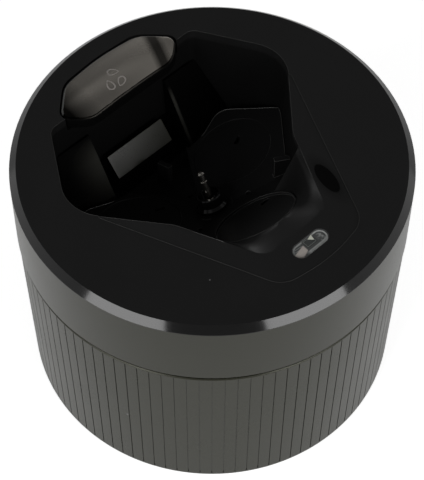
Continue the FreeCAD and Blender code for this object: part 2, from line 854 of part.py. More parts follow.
def make_head_shells():
    """Makes the head's bowl, gasket, drain strainer, collar and the screws that hold the cover."""
    bowl = revolved("bowl_turn", [
        ("tube_radius + running_gap", "bowl_bottom"), ("bowl_lower_radius", "bowl_bottom"),
        ("bowl_lower_radius", "ring_top"), ("bowl_upper_radius", "ring_top"),
        ("bowl_upper_radius", "gasket_place"), ("bowl_upper_radius - gasket_depth", "gasket_place"),
        ("bowl_upper_radius - gasket_depth", "gasket_place + gasket_height"),
        ("bowl_upper_radius", "gasket_place + gasket_height"), ("bowl_upper_radius", "flange_bottom"),
        ("flange_radius", "flange_bottom"), ("flange_radius", "flange_top"),
        ("bowl_inner_radius", "flange_top"), ("bowl_inner_radius", "bowl_floor_top"),
        ("tube_radius + running_gap", "bowl_floor_top")])
    keys = [key_box(f"bowl_key_{index}", index, "0", "ring_top + 0.5") for index in key_range()]
    spots = [polar("cover_screw_circle", angle) for angle in SCREW_ANGLES]
    columns = [cylinder(f"column_{index}", "column_radius", "bowl_bottom + 0.2", "column_top", *spot)
               for index, spot in enumerate(spots)]
    bores = [cylinder(f"column_bore_{index}", "cover_screw_radius + seat_gap", "bowl_bottom - 1",
                      "column_top + 1", *spot) for index, spot in enumerate(spots)]
    wells = [cylinder(f"column_well_{index}", "cover_screw_head + seat_gap", "bowl_bottom - 1",
                      "screw_seat", *spot) for index, spot in enumerate(spots)]
    pillar_spots = [(f"{side} * pillar_{end}_x", f"pillar_{end}_y") for side in (1, -1)
                    for end in ("rear", "front")]
    pillars = [cylinder(f"pillar_{index}", "pillar_radius", "bowl_floor_top - 0.2", "collar_bottom + 15", *spot)
               for index, spot in enumerate(pillar_spots)]
    tray_bottom = shaped("tray_underside", facet_pyramid(
        value("facet_sink") + value("tray_thickness") / math.cos(math.radians(value("facet_slope")))))
    tilted(tray_bottom)
    pillar_ends = cut("pillars_trimmed", fuse("pillars", *pillars), tray_bottom)
    drain_ring = "(port_outer + strainer_radius) / 2"
    drains = [cylinder(f"bowl_drain_{index}", "bowl_drain_radius", "bowl_bottom - 1", "bowl_floor_top + 1",
                       *polar(drain_ring, f"360 * {index} / bowl_drain_count"))
              for index in range(int(value("bowl_drain_count")))]
    node(cut("head_bowl", fuse("bowl_body", bowl, pillar_ends, *columns, *keys), *bores, *wells, *drains),
         "head_bowl")
    node(revolved("head_gasket", [
        ("bowl_upper_radius - gasket_depth", "gasket_place"), ("bowl_upper_radius", "gasket_place"),
        ("bowl_upper_radius", "gasket_place + gasket_height"),
        ("bowl_upper_radius - gasket_depth", "gasket_place + gasket_height")]), "head_gasket")
    disc = revolved("strainer_turn", [
        ("tube_radius + seat_gap", "bowl_floor_top"), ("strainer_radius", "bowl_floor_top"),
        ("strainer_radius", "bowl_floor_top + strainer_thickness"),
        ("tube_radius + seat_gap", "bowl_floor_top + strainer_thickness")])
    holes = [cylinder(f"strainer_hole_{index}", "strainer_hole", "bowl_floor_top - 1",
                      "bowl_floor_top + strainer_thickness + 1",
                      *polar(drain_ring, f"360 * {index} / strainer_hole_count"))
             for index in range(int(value("strainer_hole_count")))]
    node(cut("drain_strainer", disc, *holes), "drain_strainer")
    node(revolved("collar_ring", [
        ("bowl_upper_radius + moving_gap", "collar_bottom"), ("collar_radius", "collar_bottom"),
        ("collar_radius", "deck_under"), ("collar_inner", "deck_under"),
        ("collar_inner", "flange_bottom"), ("bowl_upper_radius + moving_gap", "flange_bottom")]),
        "collar_ring")
    screws = [screw(f"cover_screw_{index}", "cover_screw_radius - seat_gap", "cover_screw_head", "screw_seat",
                    "cover_screw_head * 0.75", "column_top + cover_screw_reach", *spot)
              for index, spot in enumerate(spots)]
    node(compound("cover_screws", *screws), "cover_screws")


# ---------------------------------------------------------------- cover, cradle and rest


def button_wire(offset=0.0):
    """Returns the start button's outline in plan."""
    right = [(value(f"button_{part}_half"), value(f"button_{part}_y"), value(f"button_{part}_round"))
             for part in ("front", "tip", "rear")]
    bulge = [(0.0, value("button_rear_y + button_rear_bulge"), 60.0)]
    left = [(-x, y, radius) for x, y, radius in reversed(right)]
    wire = rounded(right + bulge + left)
    return wire.makeOffset2D(offset) if offset else wire


def prism(wire, bottom, top):
    """Extrudes a flat outline between two heights."""
    return Part.Face(raised(wire, bottom)).extrude(Vector(0, 0, top - bottom))


def board_post_spots():
    """Returns the four corners where the control board is screwed to its posts."""
    return [(f"{side} * board_post_x", f"board_post_{end}_y") for side in (1, -1)
            for end in ("front", "rear")]


def bracket_spots():
    """Returns the two places where the button's bracket is screwed on."""
    return [(f"{side} * bracket_screw_x", "bracket_screw_y") for side in (1, -1)]


def make_cover():
    """Makes the deck cover: deck, chamfer, well walls, front bowl, bosses and openings."""
    deck = revolved("deck_turn", [
        ("0", "deck_under"), ("collar_inner - seat_gap - skirt_wall", "deck_under"),
        ("collar_inner - seat_gap - skirt_wall", "deck_under - skirt_depth"),
        ("collar_inner - seat_gap", "deck_under - skirt_depth"), ("collar_inner - seat_gap", "deck_under"),
        ("collar_radius", "deck_under"), ("collar_radius", "total_height - deck_chamfer"),
        ("collar_radius - deck_chamfer", "total_height"), ("0", "total_height")])
    top = value("total_height")
    floor = value("total_height - well_depth")
    outer = well_wire(value("well_wall"))
    split = value("front_split_y")
    reach = value("collar_radius")
    rear_half = Part.makeBox(2 * reach, 2 * reach, top, Vector(-reach, split - value("well_wall"), 0))
    walls = prism(outer, floor, top - 0.5).common(rear_half)
    under = dish_cylinder("front", reach, -3 * value("tray_thickness"), reach)
    front = prism(outer, floor, top - 0.5).cut(rear_half).common(under)
    bosses = [cylinder(f"cover_boss_{index}", "boss_radius", "column_top", "deck_under + 0.5",
                       *polar("cover_screw_circle", angle)) for index, angle in enumerate(SCREW_ANGLES)]
    bosses += [cylinder(f"bracket_boss_{index}", "bracket_boss_radius", "bracket_top", "deck_under + 0.5", *spot)
               for index, spot in enumerate(bracket_spots())]
    bosses += [cylinder(f"board_post_{index}", "board_post_radius", "board_top", "deck_under + 0.5", *spot)
               for index, spot in enumerate(board_post_spots())]
    body = fuse("cover_body", deck, shaped("well_walls", walls), shaped("front_bowl", front), *bosses)

    rear_space = Part.makeBox(2 * reach, 2 * reach, 2 * top, Vector(-reach, split, 0))
    pocket = shaped("well_pocket", well_space().common(rear_space))
    ramp = shaped("ramp_hollow", ramp_space())
    mouth = shaped("front_mouth", mouth_space())
    rim = value("dish_radius + dish_rim")
    dish = shaped("front_dish_space", dish_cylinder("front", rim, -4 * value("tray_thickness"), 1.0))
    opening = shaped("button_opening", prism(button_wire(value("button_gap")), value("wall_under_button"), top + 2))
    holes = [cylinder(f"cover_pilot_{index}", "cover_screw_radius - seat_gap", "column_top - 1",
                      "column_top + cover_screw_reach + seat_gap", *polar("cover_screw_circle", angle))
             for index, angle in enumerate(SCREW_ANGLES)]
    holes += [cylinder(f"bracket_pilot_{index}", "small_screw_radius", "bracket_top - 1",
                       "bracket_top + small_screw_reach + seat_gap", *spot)
              for index, spot in enumerate(bracket_spots())]
    holes += [cylinder(f"board_pilot_{index}", "small_screw_radius", "board_top - 1",
                       "board_top + small_screw_reach / 2 + seat_gap", *spot)
              for index, spot in enumerate(board_post_spots())]
    below = Part.makeBox(value("2 * pump_room_half"), value("pump_room_rear - pump_room_front"), reach,
                         Vector(-value("pump_room_half"), value("pump_room_front"), value("pump_room_top") - reach))
    below.Placement = cradle_place()
    room = shaped("pump_room", below)
    lens = shaped("lens_hole", prism(window_wire(value("seat_gap") / 4), value("deck_under") - 1, top + 1))
    node(cut("deck_cover", body, pocket, ramp, mouth, dish, room, opening, lens, *holes), "deck_cover")


def window_wire(offset=0.0):
    """Returns the clear window's outline in plan: a slot with round ends."""
    half = value("window_half") + offset
    depth = value("window_round") + offset
    middle = value("window_y")
    corners = [(half, middle - depth), (half, middle + depth), (-half, middle + depth), (-half, middle - depth)]
    return rounded([(x, y, depth - 0.001) for x, y in corners])


def make_cradle():
    """Makes the cradle tray: three facets with dishes, jets, slots, fins and the pump's pads."""
    slope = math.cos(math.radians(value("facet_slope")))
    upper = facet_pyramid(value("facet_sink"))
    lower = facet_pyramid(value("facet_sink") + value("tray_thickness") / slope)
    pad = Part.makeCylinder(value("pad_radius"), value("pad_drop + seat_rise"), Vector(0, 0, -value("pad_drop")))
    seat = Part.makeCylinder(value("seat_radius"), value("pad_drop + seat_rise"), Vector(0, 0, -value("pad_drop")))
    nose = Part.makeCylinder(value("pump_ear_radius"), 2 * value("pad_drop"),
                             Vector(0, value("pump_nose_y"), -value("pad_drop")))
    for part in (upper, lower, pad, seat, nose):
        part.Placement = cradle_place().multiply(part.Placement)
    shell = lower.fuse([valley_space(value("tray_thickness")), pad, nose])
    shell = shell.cut(upper).cut(valley_space()).fuse(seat)

    gap = value("tray_edge_gap")
    plan = rounded(mirrored_corners(
        [(value("tray_front_half"), value("tray_front_y"), 1.0)]
        + [(value(f"tray_{part}_half"), value(f"tray_{part}_y"), value(f"tray_{part}_round"))
           for part in ("side", "flank", "petal", "dip")]
        + [(value("tray_rear_half"), value("tray_dip_y"), 0.5),
           (value("tray_rear_half"), value("tray_rear_y"), 0.5)]))
    reach = value("collar_radius")
    rear = prism(plan, 0, value("total_height")).common(well_space(gap))
    rear = rear.common(Part.makeBox(2 * reach, 2 * reach, 2 * reach, Vector(-reach, value("front_split_y") + gap, 0)))
    rim = value("dish_radius + dish_rim") - gap
    front = dish_cylinder("front", rim, -2 * value("tray_thickness"), 2.0)
    tray = shell.common(rear.fuse(front))

    for side in DISH_ANGLES:
        depth = value("dish_depth" if side == "front" else "rear_dish_depth")
        tray = tray.cut(dish_cylinder(side, value("dish_radius"), -depth, 6.0))
    tray = tray.fuse(cradle_fins(tray))
    node(shaped("cradle_tray", tray.cut(cradle_openings()).removeSplitter()), "cradle_tray")


def cradle_fins(tray):
    """Returns the three upright fins that stand between the dishes."""
    length = value("fin_length")
    half = value("fin_thickness") / 2
    below = value("spindle_height") - value("cradle_depth") / 2
    rear_top = value("fin_rear_top")
    rear = Part.makePolygon([Vector(-half, 0, below), Vector(-half, 0, rear_top + 1.0),
                             Vector(-half, length, rear_top + 1.0 - value("fin_rear_drop")),
                             Vector(-half, length, below), Vector(-half, 0, below)])
    rear = Part.Face(rear).extrude(Vector(2 * half, 0, 0))
    rear.translate(Vector(0, value("fin_rear_y"), 0))
    fins = [rear]
    for side in (1, -1):
        angle = value("fin_side_angle") if side > 0 else 180 - value("fin_side_angle")
        fin = Part.makeBox(length, 2 * half, value("fin_side_top") - below, Vector(0, -half, 0))
        fin.Placement = Placement(Vector(side * value("fin_side_x"), value("fin_side_y"), below),
                                  Rotation(Vector(0, 0, 1), angle))
        fins.append(fin)
    sink = value("facet_sink") + 0.5 * value("tray_thickness")
    above = facet_pyramid(sink)
    above.Placement = cradle_place()
    return [fin.common(above).common(well_space(value("tray_edge_gap"))) for fin in fins]


def cradle_openings():
    """Returns the tray's bores: spindle, jets, slots and pump screws."""
    depth = value("pad_drop") + 1
    tools = [Part.makeCylinder(value("bush_radius"), 2 * depth, Vector(0, 0, -depth))]
    for angle in (-30, 90, 210):
        spot = Rotation(Vector(0, 0, 1), angle).multVec(Vector(value("jet_circle"), 0, -2 * depth))
        tools.append(Part.makeCylinder(value("jet_radius"), 4 * depth, spot))
    for x, y in pump_ear_spots():
        tools.append(Part.makeCylinder(value("pump_screw_radius"), value("pump_screw_reach") + 1,
                                       Vector(x, y, -value("pad_drop") - 1)))
    for tool in tools:
        tool.Placement = cradle_place().multiply(tool.Placement)
    length = value("slot_length")
    width = value("slot_width")
    for x, y, angle in slot_spots():
        slot = Part.makeBox(length, width, value("total_height"), Vector(-length / 2, -width / 2, 0))
        slot.Placement = Placement(Vector(x, y, 0), Rotation(Vector(0, 0, 1), angle))
        tools.append(slot)
    return tools


def slot_spots():
    """Returns the place and direction of the three drain slots, one in each dish."""
    ring = value("dish_ring")
    return [(0.36 * ring, -0.65 * ring, 0), (1.05 * ring, 0.60 * ring, 20), (-0.5 * ring, 0.52 * ring, -20)]


def make_rest():
    """Makes the rest behind the cradle, with the block that stands in its channel."""
    half = value("shoulder_half")
    profile = [Vector(-half, value(a), value(b)) for a, b in (
        ("rest_front_y", "rest_bottom"), ("rest_front_y", "rest_front_top"),
        ("rest_rear_y", "rest_rear_top"), ("rest_rear_y + 4", "rest_rear_top"), ("rest_rear_y + 4", "rest_bottom"))]
    wedge = Part.Face(Part.makePolygon(profile + profile[:1])).extrude(Vector(2 * half, 0, 0))
    side = value("rest_channel_half")
    channel = Part.makeBox(2 * side, value("rest_web_y"), value("total_height"), Vector(-side, 0, 0))
    above_web = Part.makeBox(2 * side, value("collar_radius"), value("rest_web_depth"),
                             Vector(-side, 0, value("total_height - rest_web_depth")))
    rest = wedge.cut([channel, above_web]).common(well_space(value("seat_gap")))
    node(shaped("back_rest", rest), "back_rest")
    run = value("rest_web_y - block_front_y")
    rise = run * math.tan(math.radians(value("block_slope")))
    side = value("block_half")
    corners = [(value("block_front_y"), value("rest_bottom")),
               (value("block_front_y"), value("block_front_top")),
               (value("rest_web_y"), value("block_front_top") + rise),
               (value("rest_web_y"), value("rest_bottom"))]
    outline = Part.makePolygon([Vector(-side, y, z) for y, z in corners + corners[:1]])
    node(shaped("rest_block", Part.Face(outline).extrude(Vector(2 * side, 0, 0))), "rest_block")


# ---------------------------------------------------------------- spindle and pump


def make_spindle():
    """Makes the spindle, its hub and the drive gear, all on the leaning axis."""
    neck = "(pin_radius - pin_neck_depth)"
    pin = revolved("spindle_shaft", [
        ("0", "bearing_bottom + running_gap"), ("shaft_radius", "bearing_bottom + running_gap"),
        ("shaft_radius", "pin_step"), ("pin_radius", "pin_step + 0.4"),
        ("pin_radius", "pin_top - pin_head - pin_neck_length"), (neck, "pin_top - pin_head - pin_neck_length + 0.2"),
        (neck, "pin_top - pin_head - 0.2"), ("pin_radius", "pin_top - pin_head"),
        ("pin_radius", "pin_top - 0.5"), ("pin_radius - 0.5", "pin_top"), ("0", "pin_top")])
    node(tilted(pin), "spindle_shaft")
    hub = revolved("spindle_hub", [
        ("shaft_radius", "hub_bottom"), ("hub_radius", "hub_bottom"), ("hub_radius", "hub_bottom + hub_flange"),
        ("hub_cup_radius + 0.1", "hub_bottom + hub_flange + 0.7"), ("hub_cup_radius", "hub_top - 0.3"),
        ("hub_cup_radius - 0.3", "hub_top"), ("hub_cup_radius - hub_cup_wall", "hub_top"),
        ("hub_cup_radius - hub_cup_wall - 0.1", "hub_bottom + hub_web"), ("shaft_radius", "hub_bottom + hub_web")])
    node(tilted(hub), "spindle_hub")
    for label, phase, middle, bore in (("drive_gear", -90, "0", "shaft_radius"),
                                       ("idler_gear", 90 + 180 / value("gear_teeth"), "-gear_centres",
                                        "shaft_radius + running_gap")):
        teeth = place(shaped(label + "_teeth", involute_gear(phase)), "0", middle, "gear_bottom")
        hole = cylinder(label + "_bore", bore, "gear_bottom - 1", "gear_top + 1", "0", middle)
        node(tilted(cut(label, teeth, hole)), label)
    node(tilted(revolved("spindle_bush", [
        ("shaft_radius + running_gap", "-pad_drop"), ("bush_radius", "-pad_drop"),
        ("bush_radius", "seat_rise"), ("shaft_radius + running_gap", "seat_rise")])), "spindle_bush")
    node(tilted(revolved("shaft_seal", [
        ("shaft_radius + moving_gap", "cover_bottom"), ("seal_radius", "cover_bottom"),
        ("seal_radius", "-pad_drop"), ("shaft_radius + moving_gap", "-pad_drop")])), "shaft_seal")


def pump_ear_spots():
    """Returns the three screw places of the pump, in the cradle's frame."""
    side = value("pump_ear_x")
    return [(side, value("pump_ear_y")), (-side, value("pump_ear_y")), (0.0, value("pump_nose_y"))]


def pump_plate(name, bottom, top):
    """Makes a plate over both gears, with its screw ears and their holes."""
    low, high = value(bottom), value(top)
    radius = value("pump_radius")
    centres = value("gear_centres")
    body = Part.makeCylinder(radius, high - low, Vector(0, 0, low))
    body = body.fuse([
        Part.makeCylinder(radius, high - low, Vector(0, -centres, low)),
        Part.makeBox(2 * radius, centres, high - low, Vector(-radius, -centres, low))])
    ear_low = max(low, value("gasket_bottom - pump_ear_height"))
    ears, holes = [], []
    for x, y in pump_ear_spots():
        ears.append(Part.makeCylinder(value("pump_ear_radius"), high - ear_low, Vector(x, y, ear_low)))
        holes.append(Part.makeCylinder(value("pump_screw_radius + running_gap"), high - low + 2,
                                       Vector(x, y, low - 1)))
    return shaped(name, body.fuse(ears).cut(holes).removeSplitter())


def gear_chamber(name, bottom, top):
    """Makes the space that both gears turn in."""
    return fuse(name, cylinder(name + "_drive", "chamber_radius", bottom, top),
                cylinder(name + "_idler", "chamber_radius", bottom, top, "0", "-gear_centres"))


def make_pump():
    """Makes the pump: housing, gasket, cover, idler pin, screws, intake tube and strainer."""
    outer = pump_plate("housing_body", "housing_bottom", "gasket_bottom")
    chamber = gear_chamber("housing_chamber", "chamber_bottom", "gasket_bottom + 1")
    bearing = cylinder("drive_bearing", "shaft_radius + running_gap", "bearing_bottom", "chamber_bottom + 1")
    socket = cylinder("idler_socket", "shaft_radius", "bearing_bottom", "chamber_bottom + 1", "0", "-gear_centres")
    inner = tilted(cut("housing_hollow", outer, chamber, bearing, socket))
    boss = cylinder("tube_boss", "tube_radius + tube_boss_wall", "bowl_floor_top + strainer_thickness + 1", "tube_top + 3")
    above = tilted(shaped("above_housing", pump_envelope("gasket_bottom", "seat_rise + 20")))
    inside = tilted(shaped("inside_housing", chamber_space()))
    boss = cut("tube_boss_trimmed", boss, above, inside)
    socket = cylinder("tube_socket", "tube_radius", "bowl_bottom", "tube_top - 3")
    duct = cylinder("tube_duct", "tube_bore", "bowl_bottom", "tube_top")
    node(cut("pump_housing", fuse("housing_joined", inner, boss), socket, duct), "pump_housing")

    gasket = pump_plate("gasket_plate", "gasket_bottom", "cover_bottom")
    node(tilted(cut("pump_gasket", gasket, gear_chamber("gasket_hole", "gasket_bottom - 1", "cover_bottom + 1"))),
         "pump_gasket")
    cover = pump_plate("cover_plate", "cover_bottom", "-pad_drop")
    bore = cylinder("seal_bore", "seal_radius", "cover_bottom - 1", "-pad_drop + 1")
    outlet = cylinder("outlet_port", "tube_bore / 2", "cover_bottom - 1", "-pad_drop + 1", "4", "-gear_centres / 2")
    node(tilted(cut("pump_cover", cover, bore, outlet)), "pump_cover")
    pin = cylinder("idler_axle", "shaft_radius", "bearing_bottom", "gear_top + pump_end_gap / 2", "0", "-gear_centres")
    node(tilted_group("idler_pin_set", pin), "idler_pin")
    screws = [screw(f"pump_screw_{index}", "pump_screw_radius", "pump_screw_head",
                    "gasket_bottom - pump_ear_height", "pump_screw_head * 0.7",
                    "pump_screw_reach - pad_drop", str(x), str(y))
              for index, (x, y) in enumerate((("pump_ear_x", "pump_ear_y"), ("-pump_ear_x", "pump_ear_y"),
                                              ("0", "pump_nose_y")))]
    node(tilted_group("pump_screws", *screws), "pump_screws")

    node(revolved("intake_tube", [
        ("tube_bore", "tube_bottom"), ("tube_radius", "tube_bottom"),
        ("tube_radius", "tube_top - 3"), ("tube_bore", "tube_top - 3")]), "intake_tube")
    cap = revolved("strainer_cap_turn", [
        ("0", "strainer_cap_bottom"), ("tube_radius", "strainer_cap_bottom"), ("tube_radius", "tube_bottom"),
        ("tube_bore", "tube_bottom"), ("tube_bore", "strainer_cap_bottom + 1"), ("0", "strainer_cap_bottom + 1")])
    slots = [turned(box(f"cap_slot_{index}", ("0", "0", "strainer_cap_bottom + 1.6"),
                        ("tube_radius + 1", "strainer_slot_width", "tube_bottom - 1.6")), f"60 * {index} + 1")
             for index in range(6)]
    node(cut("intake_strainer", cap, *slots), "intake_strainer")


def tilted_group(name, *parts):
    """Groups solids of the cradle's frame and leans them as one."""
    return tilted(compound(name, *parts))


def pump_envelope(bottom, top):
    """Returns the space above a height of the cradle's frame, wide enough for the pump."""
    low, high = value(bottom), value(top)
    reach = value("pad_radius + gear_centres + pump_radius")
    return Part.makeBox(2 * reach, 2 * reach, high - low, Vector(-reach, -reach, low))


def chamber_space():
    """Returns the gear chamber's own space in the cradle's frame."""
    low = value("chamber_bottom")
    return Part.makeCylinder(value("chamber_radius"), value("gasket_bottom") - low, Vector(0, 0, low))


# ---------------------------------------------------------------- start button and switch


def make_button():
    """Makes the start button, its bracket, hinge pin, spring, switch and plunger."""
    top = value("total_height") + value("button_proud")
    crown = Part.makeTorus(value("button_crown_radius - button_roll_radius"), value("button_roll_radius"),
                           Vector(0, value("button_roll_y"), top - value("button_crown_radius")),
                           Vector(0, 1, 0))
    pad = prism(button_wire(), value("button_bottom"), top + 1).common(crown)
    upper = [edge for edge in pad.Edges
             if all(point.z > value("button_bottom") + 1 for point in edge.discretize(5))
             and edge.CenterOfMass.z > value("button_bottom") + 1.5 and not is_upright(edge)]
    pad = shaped("button_pad", pad.makeFillet(value("button_edge"), upper))
    ears = []
    for index, side in enumerate((1, -1)):
        inner, outer = ("ear_inner", "ear_inner + ear_thickness") if side > 0 else (
            "-ear_inner - ear_thickness", "-ear_inner")
        ears.append(box(f"button_ear_{index}", (inner, "hinge_y - ear_reach - 1", "hinge_z - ear_reach"),
                        (outer, "hinge_y + ear_reach", "button_bottom + 0.8")))
    foot = cylinder("button_foot", "foot_radius_button", "plunger_top + foot_gap", "button_bottom + 0.5",
                    "0", "switch_y")
    bore = hinge_cylinder("button_bore", "hinge_pin_radius + running_gap", "hinge_pin_half + 1")
    node(cut("start_button", fuse("button_body", pad, foot, *ears), bore), "start_button")

    half = "(lug_inner + ear_thickness)"
    plate = padded("bracket_plate", [
        (f"-{half}", "bracket_rear_y"), (f"-{half}", "bracket_front_y"),
        (half, "bracket_front_y"), (half, "bracket_rear_y")], "bracket_bottom", "bracket_thickness")
    wings = box("bracket_wings", ("-bracket_screw_x", "bracket_front_y", "bracket_bottom"),
                ("bracket_screw_x", "bracket_screw_y + bracket_boss_radius", "bracket_top"))
    lugs = []
    for index, (inner, outer) in enumerate((("lug_inner", half), (f"-{half}", "-lug_inner"))):
        lugs.append(box(f"bracket_lug_{index}", (inner, "hinge_y - ear_reach", "bracket_bottom + 0.5"),
                        (outer, "bracket_rear_y", "hinge_z + ear_reach - seat_gap")))
    rounds = [cylinder(f"bracket_ear_{index}", "bracket_ear_radius", "bracket_bottom", "bracket_top", *spot)
              for index, spot in enumerate(bracket_spots())]
    holes = [cylinder(f"bracket_hole_{index}", "small_screw_radius + running_gap", "bracket_bottom - 1",
                      "bracket_top + 1", *spot) for index, spot in enumerate(bracket_spots())]
    pin_hole = hinge_cylinder("bracket_bore", "hinge_pin_radius", "hinge_pin_half + 1")
    node(cut("button_bracket", fuse("bracket_body", plate, wings, *lugs, *rounds), pin_hole, *holes),
         "button_bracket")
    node(hinge_cylinder("button_hinge_pin", "hinge_pin_radius", "hinge_pin_half"), "button_hinge_pin")

    helix = Part.makeHelix(
        (value("button_bottom - bracket_top - spring_seat_gap") - 2 * value("spring_wire")) / value("spring_turns"),
        value("button_bottom - bracket_top - spring_seat_gap") - 2 * value("spring_wire"), value("spring_radius"))
    section = Part.Wire(Part.makeCircle(value("spring_wire"), Vector(value("spring_radius"), 0, 0), Vector(0, 1, 0)))
    spring = Part.Wire(helix).makePipeShell([section], True, True)
    spring.translate(Vector(value("spring_x"), value("spring_y"), value("bracket_top + spring_wire")))
    node(shaped("button_spring", spring), "button_spring")

    size = "(switch_size / 2)"
    case = box("switch_case", (f"-{size}", f"switch_y - {size}", "bracket_top"),
               (size, f"switch_y + {size}", "switch_top"))
    well = cylinder("plunger_well", "plunger_radius + running_gap", "switch_top - plunger_inset", "switch_top + 1",
                    "0", "switch_y")
    node(cut("switch_body", case, well), "switch_body")
    node(cylinder("switch_plunger", "plunger_radius", "switch_top - plunger_inset + foot_gap + moving_gap",
                  "plunger_top", "0", "switch_y"), "switch_plunger")
    screws = [screw(f"bracket_screw_{index}", "small_screw_radius", "small_screw_head", "bracket_bottom",
                    "small_screw_head_height", "bracket_top + small_screw_reach", *spot)
              for index, spot in enumerate(bracket_spots())]
    node(compound("bracket_screws", *screws), "bracket_screws")


def is_upright(edge):
    """Tells whether an edge runs up a side."""
    box_of = edge.BoundBox
    return box_of.ZLength > max(box_of.XLength, box_of.YLength)


def hinge_cylinder(name, radius, half):
    """Makes a cylinder on the button's hinge axis."""
    item = bind(DOC.addObject("Part::Cylinder", name), Radius=radius, Height=f"2 * ({half})")
    item.Placement = Placement(Vector(0, 0, 0), Rotation(Vector(0, 1, 0), 90))
    return place(item, f"-({half})", "hinge_y", "hinge_z")


# ---------------------------------------------------------------- board, lamp and cells


def make_electrics():
    """Makes the clear window, lamp, control board, its screws, and the cells in their holder."""
    recess = value("total_height - window_recess - ramp_depth") + value("ramp_depth") * (
        value("lip_y - window_y") / value("lip_y + ramp_radius"))
    lens = prism(window_wire(), value("deck_under"), recess)
    flange = prism(window_wire(value("window_flange")), value("deck_under - window_flange_height"),
                   value("deck_under"))
    node(shaped("clear_window", lens.fuse(flange).removeSplitter()), "clear_window")
    half = "(lamp_size / 2)"
    node(box("indicator_lamp", (f"-{half}", f"window_y - {half}", "board_top"),
             (half, f"window_y + {half}", "lamp_top")), "indicator_lamp")
    board = padded("board_plate", [
        ("-board_half", "board_rear_y"), ("-board_half", "board_front_y"),
        ("board_half", "board_front_y"), ("board_half", "board_rear_y")], "board_bottom", "board_thickness")
    holes = [cylinder(f"board_hole_{index}", "small_screw_radius + running_gap", "board_bottom - 1",
                      "board_top + 1", *spot) for index, spot in enumerate(board_post_spots())]
    node(cut("control_board", board, *holes), "control_board")
    screws = [screw(f"board_screw_{index}", "small_screw_radius", "small_screw_head", "board_bottom",
                    "small_screw_head_height", "board_top + small_screw_reach / 2", *spot)
              for index, spot in enumerate(board_post_spots())]
    node(compound("board_screws", *screws), "board_screws")
    bore = "(cell_radius + cell_gap)"
    low = "(board_bottom - 2 * cell_height - 2 * cell_gap)"
    cup = revolved("cell_holder", [
        ("0", f"{low} - holder_wall"), (f"{bore} + holder_wall", f"{low} - holder_wall"),
        (f"{bore} + holder_wall", "board_bottom"), (bore, "board_bottom"), (bore, low), ("0", low)])
    node(place(cup, "0", "cell_y", "0"), "cell_holder")
    cells = [cylinder(f"cell_{index}", "cell_radius", f"{low} + {index} * (cell_height + cell_gap)",
                      f"{low} + {index} * (cell_height + cell_gap) + cell_height", "0", "cell_y")
             for index in range(2)]
    node(compound("coin_cells", *cells), "coin_cells")


def check_and_export():
    """Stops if any object failed, then writes one STEP file for each sub-part."""
    DOC.recompute()
    failed = [item.Name for item in DOC.Objects if {"Invalid", "Error"} & set(item.State)]
    if failed:
        raise RuntimeError(f"objects that did not compute: {failed}")
    for item in NODES:
        if item.Shape.isNull() or not item.Shape.isValid() or not item.Shape.Solids:
            raise RuntimeError(f"sub-part {item.Label} has no valid solid")
    os.makedirs("parts", exist_ok=True)
    for item in NODES:
        item.Shape.exportStep(f"parts/{item.Label}.step")
        spans = item.Shape.BoundBox
        print(f"{item.Label:18s} solids {len(item.Shape.Solids)} volume {item.Shape.Volume:10.1f} "
              f"x {spans.XMin:6.1f}..{spans.XMax:5.1f} y {spans.YMin:6.1f}..{spans.YMax:5.1f} "
              f"z {spans.ZMin:5.1f}..{spans.ZMax:5.1f}")


fill_sheet()
make_base()
make_cartridge()
make_head_shells()
make_cover()
make_cradle()
make_rest()
make_spindle()
make_pump()
make_button()
make_electrics()
check_and_export()
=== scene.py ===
"""Dresses the shaver cleaning station: moulded shells, cradle, spindle, button, lamp, light and camera."""

import logging
import math
from dataclasses import dataclass
from enum import Enum
from typing import Callable, Sequence, Union

import bmesh
import bpy
from mathutils import Matrix, Vector


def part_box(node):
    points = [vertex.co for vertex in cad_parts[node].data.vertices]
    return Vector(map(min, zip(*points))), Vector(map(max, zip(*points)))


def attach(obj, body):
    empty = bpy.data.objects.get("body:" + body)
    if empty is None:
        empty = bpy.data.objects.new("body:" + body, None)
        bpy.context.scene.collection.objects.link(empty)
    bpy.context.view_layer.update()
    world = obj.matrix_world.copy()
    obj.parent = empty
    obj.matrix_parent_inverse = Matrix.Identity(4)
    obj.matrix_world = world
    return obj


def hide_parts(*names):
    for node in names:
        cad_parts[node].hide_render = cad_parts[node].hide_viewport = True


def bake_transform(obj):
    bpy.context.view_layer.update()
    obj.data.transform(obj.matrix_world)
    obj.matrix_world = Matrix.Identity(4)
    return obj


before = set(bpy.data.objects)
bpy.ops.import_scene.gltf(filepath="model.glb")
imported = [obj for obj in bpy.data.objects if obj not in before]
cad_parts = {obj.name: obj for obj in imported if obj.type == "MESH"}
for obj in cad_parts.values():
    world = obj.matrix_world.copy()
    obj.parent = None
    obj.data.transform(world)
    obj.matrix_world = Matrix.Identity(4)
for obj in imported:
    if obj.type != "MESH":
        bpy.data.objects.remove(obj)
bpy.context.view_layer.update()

LOG = logging.getLogger("cleaning_station")
MM = 0.001
WELD = 0.000001
FLAT_DEG = 0.4
EDGE_DEG = 30.0
ROUND_DEG = 60.0
MEAN = 0.5
FULL_TURN = 2 * math.pi
FINISH_END = "_finish"
MIX_LOW, MIX_HIGH, MIX_COLOUR = 6, 7, 2

Colour = tuple[float, float, float]
Span = tuple[float, float]
Trio = tuple[float, float, float]
Element = Union[bmesh.types.BMVert, bmesh.types.BMEdge, bmesh.types.BMFace]

WHITE = (1.0, 1.0, 1.0)


def scaled(colour: Colour, factor: float) -> Colour:
    """Returns a colour times a number."""
    return tuple(channel * factor for channel in colour)


# ---------------------------------------------------------------- shader sums


